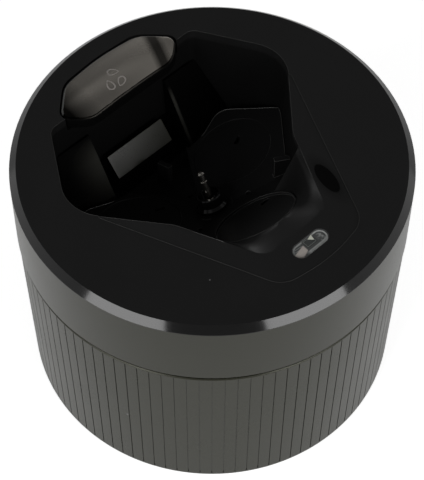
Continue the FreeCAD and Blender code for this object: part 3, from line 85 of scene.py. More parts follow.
class Signal:
    """A node's output, or a number, on which arithmetic adds Math nodes."""

    def __init__(self, graph: "Graph", source: "bpy.types.NodeSocket | float") -> None:
        """Wraps a source that belongs to a graph."""
        self.graph = graph
        self.source = source

    def math(self, operation: str, other: "Signal | float | None" = None, clamp: bool = False) -> "Signal":
        """Adds one Math node.

        Args:
            operation: the Math node's operation.
            other: the second value, where the operation has one.
            clamp: whether the answer is kept between 0 and 1.

        Returns:
            The node's answer.
        """
        values: dict[int | str, object] = {0: self}
        if other is not None:
            values[1] = other
        return self.graph.signal("ShaderNodeMath", {"operation": operation, "use_clamp": clamp}, values)

    def __add__(self, other: "Signal | float") -> "Signal":
        """Adds."""
        return self.math("ADD", other)

    __radd__ = __add__

    def __mul__(self, other: "Signal | float") -> "Signal":
        """Multiplies."""
        return self.math("MULTIPLY", other)

    __rmul__ = __mul__

    def __sub__(self, other: "Signal | float") -> "Signal":
        """Subtracts."""
        return self.math("SUBTRACT", other)

    def __rsub__(self, other: float) -> "Signal":
        """Subtracts this from a number."""
        return Signal(self.graph, other).math("SUBTRACT", self)

    def __truediv__(self, other: "Signal | float") -> "Signal":
        """Divides."""
        return self.math("DIVIDE", other)

    def __pow__(self, other: float) -> "Signal":
        """Raises to a power."""
        return self.math("POWER", other)

    def at_least(self, other: "Signal | float") -> "Signal":
        """Returns the greater of two values."""
        return self.math("MAXIMUM", other)

    def band(self, middle: float, half: float, soft: float) -> "Signal":
        """Returns 1 within a distance of a value, falling to 0 over a soft edge."""
        return (self - middle).math("ABSOLUTE").ramp(half + soft, half)

    def ramp(self, low: float, high: float) -> "Signal":
        """Returns 0 below low, 1 above high, and a straight rise between (low may be the greater)."""
        return ((self - low) / (high - low)).math("ADD", 0.0, clamp=True)


class Graph:
    """One node tree: a new material's, or a world's."""

    def __init__(self, name: str, world: "bpy.types.World | None" = None) -> None:
        """Makes the tree, empty.

        Args:
            name: the material's name, before its ending.
            world: the world, where the tree is a world's.
        """
        self.owner = world or bpy.data.materials.new(name + FINISH_END)
        self.owner.use_nodes = True
        self.tree = self.owner.node_tree
        self.tree.nodes.clear()

    def node(self, kind: str, settings: dict[str, object] | None = None,
             values: dict[int | str, object] | None = None) -> bpy.types.Node:
        """Adds a node of any type.

        Args:
            kind: the node's type.
            settings: its own properties; "stops" gives a colour ramp's stops as (place, colour).
            values: what its sockets hold, each a Signal to link or a plain value.

        Returns:
            The node.
        """
        made = self.tree.nodes.new(kind)
        for key, setting in (settings or {}).items():
            if key == "stops":
                self.set_stops(made, setting)
            else:
                setattr(made, key, setting)
        for key, held in (values or {}).items():
            socket = made.inputs[key]
            if isinstance(held, Signal) and isinstance(held.source, bpy.types.NodeSocket):
                self.tree.links.new(held.source, socket)
            else:
                socket.default_value = held.source if isinstance(held, Signal) else held
        return made

    @staticmethod
    def set_stops(ramp: bpy.types.Node, stops: Sequence[tuple[float, Colour]]) -> None:
        """Sets a colour ramp's stops.

        Args:
            ramp: the Color Ramp node.
            stops: each stop as (place, colour), from low to high.
        """
        elements = ramp.color_ramp.elements
        while len(elements) < len(stops):
            elements.new(MEAN)
        for element, (place, colour) in zip(elements, stops):
            element.position = place
            element.color = (*colour, 1.0)

    def signal(self, kind: str, settings: dict[str, object] | None = None,
               values: dict[int | str, object] | None = None, output: int | str = 0) -> Signal:
        """Adds a node and returns one of its outputs."""
        return Signal(self, self.node(kind, settings, values).outputs[output])

    def place(self) -> Signal:
        """Returns the Object coordinates, which are metres in the station's own frame."""
        return self.signal("ShaderNodeTexCoord", output="Object")

    def axes(self, vector: Signal) -> tuple[Signal, Signal, Signal]:
        """Splits a vector into its three numbers."""
        split = self.node("ShaderNodeSeparateXYZ", values={0: vector})
        return tuple(Signal(self, split.outputs[axis]) for axis in range(3))

    def axes_mm(self, where: Signal) -> tuple[Signal, Signal, Signal]:
        """Splits coordinates in metres into three lengths in millimetres."""
        return tuple(axis / MM for axis in self.axes(where))

    def noise(self, where: Signal, size_mm: float, detail: float = 2.0, rough: float = 0.5) -> Signal:
        """Returns soft noise between 0 and 1 with features of about a size."""
        return self.signal("ShaderNodeTexNoise", {}, {
            "Vector": where, "Scale": 1.0 / (size_mm * MM), "Detail": detail, "Roughness": rough})

    def specks(self, where: Signal, spacing_mm: float, radius_mm: float, share: float) -> Signal:
        """Returns 1 on scattered round specks and 0 elsewhere.

        Args:
            where: the coordinates.
            spacing_mm: the size of the cells, each of which may hold a speck.
            radius_mm: a speck's greatest radius.
            share: the share of the cells that hold one.

        Returns:
            The mask.
        """
        cell = self.node("ShaderNodeTexVoronoi", {"feature": "F1"}, {
            "Vector": where, "Scale": 1.0 / (spacing_mm * MM), "Randomness": 1.0})
        luck = self.axes(Signal(self, cell.outputs["Color"]))
        near = Signal(self, cell.outputs["Distance"]).math("LESS_THAN", luck[1] * (radius_mm / spacing_mm))
        return near * luck[0].math("LESS_THAN", share)

    def mix(self, mask: Signal, low: "Colour | Signal", high: "Colour | Signal") -> Signal:
        """Mixes two colours.

        Args:
            mask: 0 for the first colour and 1 for the second.
            low: the first colour.
            high: the second colour.

        Returns:
            The mixed colour.
        """
        ends = {socket: (*colour, 1.0) if isinstance(colour, tuple) else colour
                for socket, colour in ((MIX_LOW, low), (MIX_HIGH, high))}
        return self.signal("ShaderNodeMix", {"data_type": "RGBA"}, {0: mask, **ends}, output=MIX_COLOUR)

    def spread(self, mask: Signal, colour: Colour, share: float) -> Signal:
        """Mixes a colour made a share darker with the same colour made a share lighter."""
        return self.mix(mask, scaled(colour, 1 - share), scaled(colour, 1 + share))

    def bump(self, height: Signal, depth_mm: float) -> Signal:
        """Turns a height between 0 and 1 into a normal."""
        return self.signal("ShaderNodeBump", {}, {
            "Strength": 1.0, "Distance": depth_mm * MM, "Height": height})

    def end(self, surface: Signal) -> bpy.types.Material:
        """Ends the material with a shader."""
        self.node("ShaderNodeOutputMaterial", {}, {"Surface": surface})
        return self.owner

    def surface(self, values: dict[int | str, object]) -> bpy.types.Material:
        """Ends the material with a Principled shader."""
        return self.end(self.signal("ShaderNodeBsdfPrincipled", {}, values))

    def blend(self, mask: Signal, low: dict[int | str, object],
              high: dict[int | str, object]) -> bpy.types.Material:
        """Ends the material with two Principled shaders mixed by a mask."""
        shaders = [self.signal("ShaderNodeBsdfPrincipled", {}, values) for values in (low, high)]
        return self.end(self.signal("ShaderNodeMixShader", {}, {0: mask, 1: shaders[0], 2: shaders[1]}))


# ---------------------------------------------------------------- finishes


@dataclass(frozen=True)
class Moulded:
    """Injection-moulded plastic with a spark-eroded grain, faint mottling and a little dust.

    The swings are how far the mottling and the grain move the roughness, and dust_mm is the dust's
    spacing and greatest radius.
    """

    name: str
    colour: Colour
    roughness: float
    grain_mm: float = 0.35
    grain_depth_mm: float = 0.006
    mottle: float = 0.12
    mottle_mm: float = 14.0
    swings: Span = (0.08, 0.10)
    dust: float = 0.0
    dust_mm: Span = (5.0, 0.55)
    dust_colour: Colour = (0.16, 0.16, 0.16)
    dust_roughness: float = 0.4
    gleam: float = 0.5
    tint: Colour = WHITE

    def grain(self, graph: Graph, where: Signal) -> Signal:
        """Returns the grain's height."""
        return graph.noise(where, self.grain_mm, detail=3.0, rough=0.6)

    def ground(self, graph: Graph, where: Signal) -> tuple[Signal, Signal, Signal]:
        """Lays the mottling and the grain.

        Args:
            graph: the material's nodes.
            where: the Object coordinates.

        Returns:
            The tone, the roughness and the grain's height.
        """
        grain = self.grain(graph, where)
        mottling = graph.noise(where, self.mottle_mm)
        wide, fine = self.swings
        rough = self.roughness + (mottling - MEAN) * wide + (grain - MEAN) * fine
        return graph.spread(mottling, self.colour, self.mottle), rough, grain

    def material(self) -> bpy.types.Material:
        """Builds the material."""
        graph = Graph(self.name)
        where = graph.place()
        tone, rough, grain = self.ground(graph, where)
        if self.dust > 0:
            specks = graph.specks(where, *self.dust_mm, self.dust)
            tone = graph.mix(specks, tone, self.dust_colour)
            rough = rough + specks * self.dust_roughness
        return graph.surface({"Base Color": tone, "Roughness": rough, "Specular IOR Level": self.gleam,
                              "Specular Tint": (*self.tint, 1.0),
                              "Normal": graph.bump(grain, self.grain_depth_mm)})


@dataclass(frozen=True)
class Deck(Moulded):
    """The deck's matte plastic, with a polished rim, painted shade in the well (a darker colour and weaker
    gloss) and one painted dark oval reflection on the ramp.

    A span runs from where a form has no effect to where it has its full effect.
    """

    mottle_mm: float = 18.0
    swings: Span = (0.06, 0.08)
    dust_mm: Span = (6.0, 0.5)
    dust_colour: Colour = (0.13, 0.13, 0.13)
    dust_roughness: float = 0.3
    rim_mm: Span = (57.8, 57.9)
    rim_roughness: float = 0.10
    rim_colour: Colour = (0.006, 0.006, 0.006)
    well_mm: Span = (89.5, 88.0)
    well_shade_colour: Colour = (0.0016, 0.0016, 0.0016)
    well_shade_gleam: float = 0.102
    well_shade_share: float = 0.8
    well_roughness: float = 0.28
    reflection_at_mm: Span = (19.7, -28.1)
    reflection_half_mm: Span = (7.2, 2.7)
    reflection_lean: Span = (0.19, 0.98)
    reflection_core: Span = (0.92, 0.78)
    reflection_fringe: Span = (1.6, 0.9)
    reflection_fringe_share: float = 0.45
    reflection_level_mm: Span = (88.5, 88.9)

    def dark_reflection(self, x: Signal, y: Signal, z: Signal) -> Signal:
        """Returns the mask of the painted dark oval reflection.

        Args:
            x: the place in millimetres, as are the next two.
            y: the same, towards the rear.
            z: the same, upwards.

        Returns:
            The mask.
        """
        lean_x, lean_y = self.reflection_lean
        east, north = x - self.reflection_at_mm[0], y - self.reflection_at_mm[1]
        along = (east * lean_x + north * lean_y) / self.reflection_half_mm[0]
        across = (east * lean_y - north * lean_x) / self.reflection_half_mm[1]
        reach = (along ** 2.0 + across ** 2.0).math("SQRT")
        fringe = reach.ramp(*self.reflection_fringe) * self.reflection_fringe_share
        return reach.ramp(*self.reflection_core).at_least(fringe) * z.ramp(*self.reflection_level_mm)

    def material(self) -> bpy.types.Material:
        """Builds the material."""
        graph = Graph(self.name)
        where = graph.place()
        x, y, z = graph.axes_mm(where)
        rim = (x * x + y * y).math("SQRT").ramp(*self.rim_mm)
        inside = z.ramp(*self.well_mm)
        # painted reflection: a dark oval on the ramp
        dark_reflection = self.dark_reflection(x, y, z)
        tone, plain, grain = self.ground(graph, where)
        specks = graph.specks(where, *self.dust_mm, self.dust) * (1 - inside)
        tone = graph.mix(rim, tone, self.rim_colour)
        # painted shade: the well's walls take a darker colour than the deck
        tone = graph.mix(inside, tone, self.well_shade_colour)
        tone = graph.mix(specks, tone, self.dust_colour)
        rough = (plain + inside * self.well_roughness) * (1 - rim) + rim * self.rim_roughness
        bright = {"Base Color": tone, "Roughness": rough + specks * self.dust_roughness,
                  "Normal": graph.bump(grain * (1 - rim), self.grain_depth_mm)}
        # painted shade in the well and the painted dark oval reflection on the ramp: a darker colour and
        # weaker gloss
        painted_dark = {**bright, "Base Color": graph.mix(dark_reflection, tone, self.well_shade_colour),
                "Specular IOR Level": self.well_shade_gleam}
        return graph.blend((inside * self.well_shade_share).at_least(dark_reflection), bright, painted_dark)


@dataclass(frozen=True)
class Slope(Moulded):
    """The rear rest's plastic, with a painted highlight in a patch on the left slope and along the right
    ridge.

    A span runs from where a form has no effect to where it has its full effect.
    """

    highlight_colour: Colour = (0.032, 0.032, 0.028)
    speckle: float = 0.2
    grain_swing: float = 0.1
    channel_mm: Span = (15.52, 15.58)
    left_x_mm: Span = (-28.0, -16.5)
    left_z_mm: Span = (78.5, 71.5)
    left_foot_mm: Span = (67.0, 57.0)
    left_fall: float = 1.6
    ridge_mm: Trio = (16.2, 0.2, 0.6)
    ridge_z_mm: Span = (76.5, 72.5)
    ridge_foot_mm: Span = (70.0, 58.0)
    foot_fade: float = 0.7

    def material(self) -> bpy.types.Material:
        """Builds the material."""
        graph = Graph(self.name)
        where = graph.place()
        x, _, z = graph.axes_mm(where)
        near, far = self.channel_mm
        grain = self.grain(graph, where)
        left = x.ramp(*self.left_x_mm) ** self.left_fall * x.ramp(-near, -far) * z.ramp(*self.left_z_mm)
        left = left * (1 - z.ramp(*self.left_foot_mm) * self.foot_fade)
        right = x.band(*self.ridge_mm) * x.ramp(near, far) * z.ramp(*self.ridge_z_mm)
        right = right * (1 - z.ramp(*self.ridge_foot_mm) * self.foot_fade)
        # painted highlight: a paler colour on the left slope and along the right ridge, fading towards the
        # foot
        share = left.at_least(right) * (1 - self.speckle + grain * (2 * self.speckle))
        return graph.surface({"Base Color": graph.mix(share, self.colour, self.highlight_colour),
                              "Roughness": self.roughness + (grain - MEAN) * self.grain_swing,
                              "Specular IOR Level": self.gleam,
                              "Normal": graph.bump(grain, self.grain_depth_mm)})


@dataclass(frozen=True)
class Gloss:
    """Polished plastic with faint waviness, fine hairlines and an optional sheen of metal flake.

    The swings are how far the waviness and the hairlines move the roughness.
    """

    name: str
    colour: Colour
    roughness: float
    metallic: float = 0.0
    coat: float = 0.0
    wave_mm: float = 9.0
    wave_depth_mm: float = 0.004
    flake_mm: float = 0.18
    flake: float = 0.08
    swings: Span = (0.05, 0.04)

    def shade(self, graph: Graph, where: Signal, tone: Signal) -> Signal:
        """Returns the tone, which a finish with painted shade changes."""
        return tone

    def material(self) -> bpy.types.Material:
        """Builds the material."""
        graph = Graph(self.name)
        where = graph.place()
        wave = graph.noise(where, self.wave_mm, detail=1.0)
        flake = graph.noise(where, self.flake_mm, detail=1.0)
        wide, fine = self.swings
        rough = self.roughness + (wave - MEAN) * wide + (flake - MEAN) * fine
        tone = self.shade(graph, where, graph.spread(flake, self.colour, self.flake))
        return graph.surface({"Base Color": tone, "Roughness": rough, "Metallic": self.metallic,
                              "Coat Weight": self.coat, "Normal": graph.bump(wave, self.wave_depth_mm)})


@dataclass(frozen=True)
class ButtonSatin(Gloss):
    """Metallised satin, with painted shade towards its left end, its rear and its right end, and a painted
    dark reflection in a soft slanting band near its right end.

    A span runs from where a form has no effect to where it has its full effect.
    """

    roll_x_mm: Span = (-11.5, -20.0)
    rear_y_mm: Span = (43.5, 49.8)
    rear_fade: float = 0.84
    slant_mm: Trio = (0.939, -0.344, 0.90)
    reflection_band_mm: Trio = (1.3, 1.0, 2.2)
    reflection_band_fade: float = 0.90
    end_mm: Span = (3.0, 4.0)
    end_fade: float = 0.15
    deepest_shade: float = 0.03

    def shade(self, graph: Graph, where: Signal, tone: Signal) -> Signal:
        """Paints shade and a dark reflection into the tone.

        Args:
            graph: the material's nodes.
            where: the Object coordinates.
            tone: the plain tone.

        Returns:
            The tone with its painted shade and painted reflection.
        """
        x, y, _ = graph.axes_mm(where)
        slant = x * self.slant_mm[0] + y * self.slant_mm[1] + self.slant_mm[2]
        # painted shade: darker towards the left end, the rear and the right end; painted reflection: a dark
        # slanting band
        lit = (1 - x.ramp(*self.roll_x_mm)) * (1 - y.ramp(*self.rear_y_mm) * self.rear_fade)
        lit = lit * (1 - slant.band(*self.reflection_band_mm) * self.reflection_band_fade)
        lit = lit * (1 - slant.ramp(*self.end_mm) * self.end_fade)
        return graph.mix(lit, scaled(self.colour, self.deepest_shade), tone)


@dataclass(frozen=True)
class Metal:
    """Turned or drawn metal with fine rings round an axis."""

    name: str
    colour: Colour
    roughness: float
    ring_mm: float = 0.12
    ring_depth_mm: float = 0.003
    ring_swing: float = 0.12
    stretch: Trio = (0.25, 0.25, 1.0)
    stain_mm: float = 2.5
    stain: float = 0.85

    def material(self) -> bpy.types.Material:
        """Builds the material."""
        graph = Graph(self.name)
        where = graph.place()
        fine = graph.signal("ShaderNodeMapping", {}, {"Vector": where, "Scale": self.stretch})
        rings = graph.noise(fine, self.ring_mm)
        stain = graph.noise(where, self.stain_mm)
        return graph.surface({"Base Color": graph.mix(stain, scaled(self.colour, self.stain), self.colour),
                              "Roughness": self.roughness + (rings - MEAN) * self.ring_swing,
                              "Metallic": 1.0, "Normal": graph.bump(rings, self.ring_depth_mm)})


@dataclass(frozen=True)
class ClearPlastic:
    """Clear moulded plastic."""

    name: str
    roughness: float
    colour: Colour = (0.30, 0.31, 0.31)
    ripple_mm: float = 1.6
    ripple_depth_mm: float = 0.02
    clearest: float = 0.10
    haze: float = 0.08
    index: float = 1.49

    def material(self) -> bpy.types.Material:
        """Builds the material."""
        graph = Graph(self.name)
        ripple = graph.noise(graph.place(), self.ripple_mm, detail=1.0)
        graph.owner.blend_method = "BLEND"
        return graph.surface({"Base Color": (*self.colour, 1.0), "Roughness": self.roughness,
                              "Alpha": self.clearest + ripple * self.haze, "IOR": self.index,
                              "Normal": graph.bump(ripple, self.ripple_depth_mm)})


@dataclass(frozen=True)
class LightGuide:
    """The moulded guide under the window: dark, with painted highlights on its rims, at its lit end and in
    streaks, and a pale pad.

    Bands and spans on an inset count millimetres in from the guide's outline. A span runs from where
    a form has no effect to where it has its full effect.
    """

    name: str
    half_mm: float = 3.7
    round_mm: float = 2.6
    middle_mm: float = -41.1
    ripple_mm: float = 0.6
    ripple_depth_mm: float = 0.02
    dark: Colour = (0.035, 0.037, 0.036)
    bright: Colour = (0.62, 0.64, 0.62)
    pad: Colour = (0.52, 0.47, 0.43)
    roughness: float = 0.35
    ripple_swing: float = 0.1
    ripple_share: float = 0.5
    line_level: float = 0.6
    rim_inset: Trio = (0.42, 0.16, 0.14)
    rim_y_mm: Span = (-2.6, 2.4)
    rim_y_share: float = 0.55
    rim_x_mm: Span = (2.0, 5.0)
    front_inset: Trio = (0.75, 0.40, 0.25)
    front_y_mm: Span = (-0.6, -1.4)
    front_x_mm: Span = (-3.2, -1.6)
    front_share: float = 0.75
    end_inset: Span = (0.9, 1.5)
    end_x_mm: Span = (2.6, 4.4)
    end_ripple: Span = (0.42, 0.62)
    end_share: float = 0.55
    streak_run: Span = (1.1, 9.0)
    streak_wave: Span = (0.1, 0.8)
    streak_x_mm: Span = (-1.9, -2.5)
    streak_y_mm: Span = (-0.1, 0.4)
    streak_share: float = 0.30
    pad_inset: Span = (0.05, 0.25)
    pad_x_mm: Span = (-1.75, -2.05)
    pad_rear: Trio = (0.23, 1.57, 0.15)
    pad_front: Trio = (0.396, 0.245, 0.2)

    def lines(self, x: Signal, y: Signal, inset: Signal, ripple: Signal) -> Signal:
        """Returns the mask of the painted highlights: the bright rims, the lit end and the streaks.

        Args:
            x: millimetres from the guide's middle.
            y: the same, towards the rear.
            inset: millimetres in from the outline.
            ripple: the ripple's height.

        Returns:
            The mask.
        """
        lit = (y.ramp(*self.rim_y_mm) * self.rim_y_share + x.ramp(*self.rim_x_mm)).math("MINIMUM", 1.0)
        rim = inset.band(*self.rim_inset) * lit
        front = inset.band(*self.front_inset) * y.ramp(*self.front_y_mm) * x.ramp(*self.front_x_mm)
        end = x.ramp(*self.end_x_mm) * inset.ramp(*self.end_inset) * ripple.ramp(*self.end_ripple)
        wave = (x * self.streak_run[0] + y * self.streak_run[1]).math("SINE")
        streaks = wave.ramp(*self.streak_wave) * x.ramp(*self.streak_x_mm) * y.ramp(*self.streak_y_mm)
        for line, share in ((front, self.front_share), (end, self.end_share), (streaks, self.streak_share)):
            rim = rim.at_least(line * share)
        return rim

    def pad_mask(self, x: Signal, y: Signal, inset: Signal) -> Signal:
        """Returns the mask of the pale pad, between two lines that lean.

        Args:
            x: millimetres from the guide's middle.
            y: the same, towards the rear.
            inset: millimetres in from the outline.

        Returns:
            The mask.
        """
        rear_lean, rear_shift, rear_soft = self.pad_rear
        front_lean, front_shift, front_soft = self.pad_front
        rear = (x * rear_lean - y + rear_shift).ramp(-rear_soft, rear_soft)
        front = (y - x * front_lean + front_shift).ramp(-front_soft, front_soft)
        return x.ramp(*self.pad_x_mm) * rear * front * inset.ramp(*self.pad_inset)

    def material(self) -> bpy.types.Material:
        """Builds the material."""
        graph = Graph(self.name)
        where = graph.place()
        x, y, _ = graph.axes_mm(where)
        y = y - self.middle_mm
        past = (x.math("ABSOLUTE") - self.half_mm).at_least(0.0)
        inset = self.round_mm - (past * past + y * y).math("SQRT")
        ripple = graph.noise(where, self.ripple_mm)
        # painted highlights in the bright colour: the rims, brighter towards +X and the rear, the lit end and
        # the streaks
        bright = self.lines(x, y, inset, ripple) * (self.line_level + ripple * self.ripple_share)
        pad = self.pad_mask(x, y, inset)
        tone = graph.mix(pad, graph.mix(bright, self.dark, self.bright), self.pad)
        return graph.surface({"Base Color": tone, "Roughness": self.roughness + ripple * self.ripple_swing,
                              "Normal": graph.bump(ripple, self.ripple_depth_mm)})


@dataclass(frozen=True)
class Felt:
    """Fibrous filter felt."""

    name: str
    colour: Colour
    roughness: float = 0.95
    fibre_mm: float = 0.5
    fibre_depth_mm: float = 0.15
    shadow: float = 0.7

    def material(self) -> bpy.types.Material:
        """Builds the material."""
        graph = Graph(self.name)
        fibres = graph.noise(graph.place(), self.fibre_mm, detail=5.0, rough=0.7)
        tone = graph.mix(fibres, scaled(self.colour, self.shadow), self.colour)
        return graph.surface({"Base Color": tone, "Roughness": self.roughness,
                              "Normal": graph.bump(fibres, self.fibre_depth_mm)})


@dataclass(frozen=True)
class Backdrop:
    """The pale table, which the camera sees as white except for the object's shadow."""

    name: str = "table"
    colour: Colour = (0.86, 0.86, 0.86)
    fibre_mm: float = 3.0
    fibre: float = 0.985
    lift: float = 0.73
    mirrored: float = 0.33

    def material(self) -> bpy.types.Material:
        """Builds the material."""
        graph = Graph(self.name)
        fibre = graph.noise(graph.place(), self.fibre_mm)
        tone = graph.mix(fibre, scaled(self.colour, self.fibre), self.colour)
        path = graph.node("ShaderNodeLightPath")
        camera, passed, mirror = (Signal(graph, path.outputs[f"Is {ray} Ray"])
                                  for ray in ("Camera", "Transmission", "Glossy"))
        seen = camera.at_least(passed).at_least(mirror * self.mirrored)
        sheet = graph.signal("ShaderNodeBsdfDiffuse", {}, {"Color": tone})
        glow = graph.signal("ShaderNodeEmission", {}, {"Color": (*WHITE, 1.0), "Strength": self.lift})
        both = graph.signal("ShaderNodeAddShader", {}, {0: sheet, 1: glow})
        return graph.end(graph.signal("ShaderNodeMixShader", {}, {0: seen, 1: sheet, 2: both}))


class Finish(Enum):
    """Every finish of the station."""

    TUB = Moulded("grooved_shell", (0.0090, 0.0094, 0.0040), 0.26, dust=0.02, tint=(1.0, 1.0, 0.86))
    COLLAR = Moulded("collar_satin", (0.0070, 0.0074, 0.0030), 0.22, grain_depth_mm=0.003, dust=0.02,
                     tint=(1.0, 1.0, 0.86))
    DECK = Deck("deck_black", (0.0078, 0.0078, 0.0078), 0.32, dust=0.06)
    BUTTON = ButtonSatin("button_gloss", (0.76, 0.71, 0.635), 0.26, metallic=1.0)
    # the pad's sides: copies with painted shade on the rolled edge and the steep sides, and painted light on
    # the rear
    BUTTON_EDGE = ButtonSatin("button_edge", (0.030, 0.028, 0.025), 0.40, metallic=1.0)
    BUTTON_SIDE = Moulded("button_side", (0.0012, 0.0012, 0.0012), 0.70, gleam=0.05)
    BUTTON_REAR = Gloss("button_rear", (0.055, 0.055, 0.053), 0.40)
    MARK = Gloss("button_mark", (0.27, 0.25, 0.235), 0.40)
    DECK_EDGE = Moulded("deck_edge", (0.034, 0.034, 0.033), 0.30)
    TRAY = Moulded("tray_grey", (0.0068, 0.0068, 0.0069), 0.52, grain_depth_mm=0.002, mottle=0.08, gleam=0.14)
    TRAY_EDGE = Moulded("tray_edge", (0.075, 0.075, 0.073), 0.30)
    REST = Moulded("rest_black", (0.0016, 0.0016, 0.0017), 0.22, grain_depth_mm=0.002)
    SLOPE = Slope("rest_satin", (0.0012, 0.0012, 0.0012), 0.22, grain_depth_mm=0.002, gleam=0.14)
    PATCH = Moulded("rest_slope", (0.020, 0.0198, 0.0145), 0.30, grain_depth_mm=0.003)
    LIP = Moulded("lip_pale", (0.050, 0.050, 0.048), 0.35, grain_depth_mm=0.002)
    DECK_LINE = Moulded("deck_line", (0.028, 0.028, 0.027), 0.35, grain_depth_mm=0.002)
    HUB = Gloss("hub_gloss", (0.0040, 0.0040, 0.0042), 0.08, coat=0.4, wave_mm=3.0)
    INNER = Moulded("inner_black", (0.012, 0.012, 0.013), 0.45)
    TANK = Moulded("tank_smoke", (0.030, 0.034, 0.040), 0.22, mottle=0.05)
    LID = Moulded("lid_grey", (0.16, 0.165, 0.175), 0.42)
    GEAR = Moulded("gear_white", (0.70, 0.69, 0.65), 0.40)
    RUBBER = Moulded("seal_rubber", (0.012, 0.012, 0.012), 0.75, grain_mm=0.2)
    STEEL = Metal("steel", (0.60, 0.57, 0.52), 0.22)
    SCREW = Metal("screw_steel", (0.55, 0.55, 0.57), 0.30)
    BRASS = Metal("bush_brass", (0.72, 0.52, 0.26), 0.25)
    CELL = Metal("cell_steel", (0.66, 0.66, 0.67), 0.18)
    BOARD = Gloss("board_green", (0.012, 0.070, 0.030), 0.35)
    LAMP = Gloss("lamp_milky", (0.11, 0.12, 0.11), 0.30)
    LAMP_EDGE = Gloss("lamp_frame", (0.012, 0.016, 0.014), 0.25)
    LAMP_GLINT = Gloss("lamp_glint", (0.80, 0.82, 0.70), 0.30)
    GUIDE = LightGuide("light_guide")
    CLEAR = ClearPlastic("clear", 0.05)
    FELT = Felt("felt", (0.60, 0.58, 0.50))

    def material(self) -> bpy.types.Material:
        """Returns the finish's material, made once."""
        return bpy.data.materials.get(self.value.name + FINISH_END) or self.value.material()


# ---------------------------------------------------------------- the bench


class Part(Enum):
    """The kinds of mesh element, each with the name of bmesh's list of them."""

    VERT = "verts"
    EDGE = "edges"
    FACE = "faces"


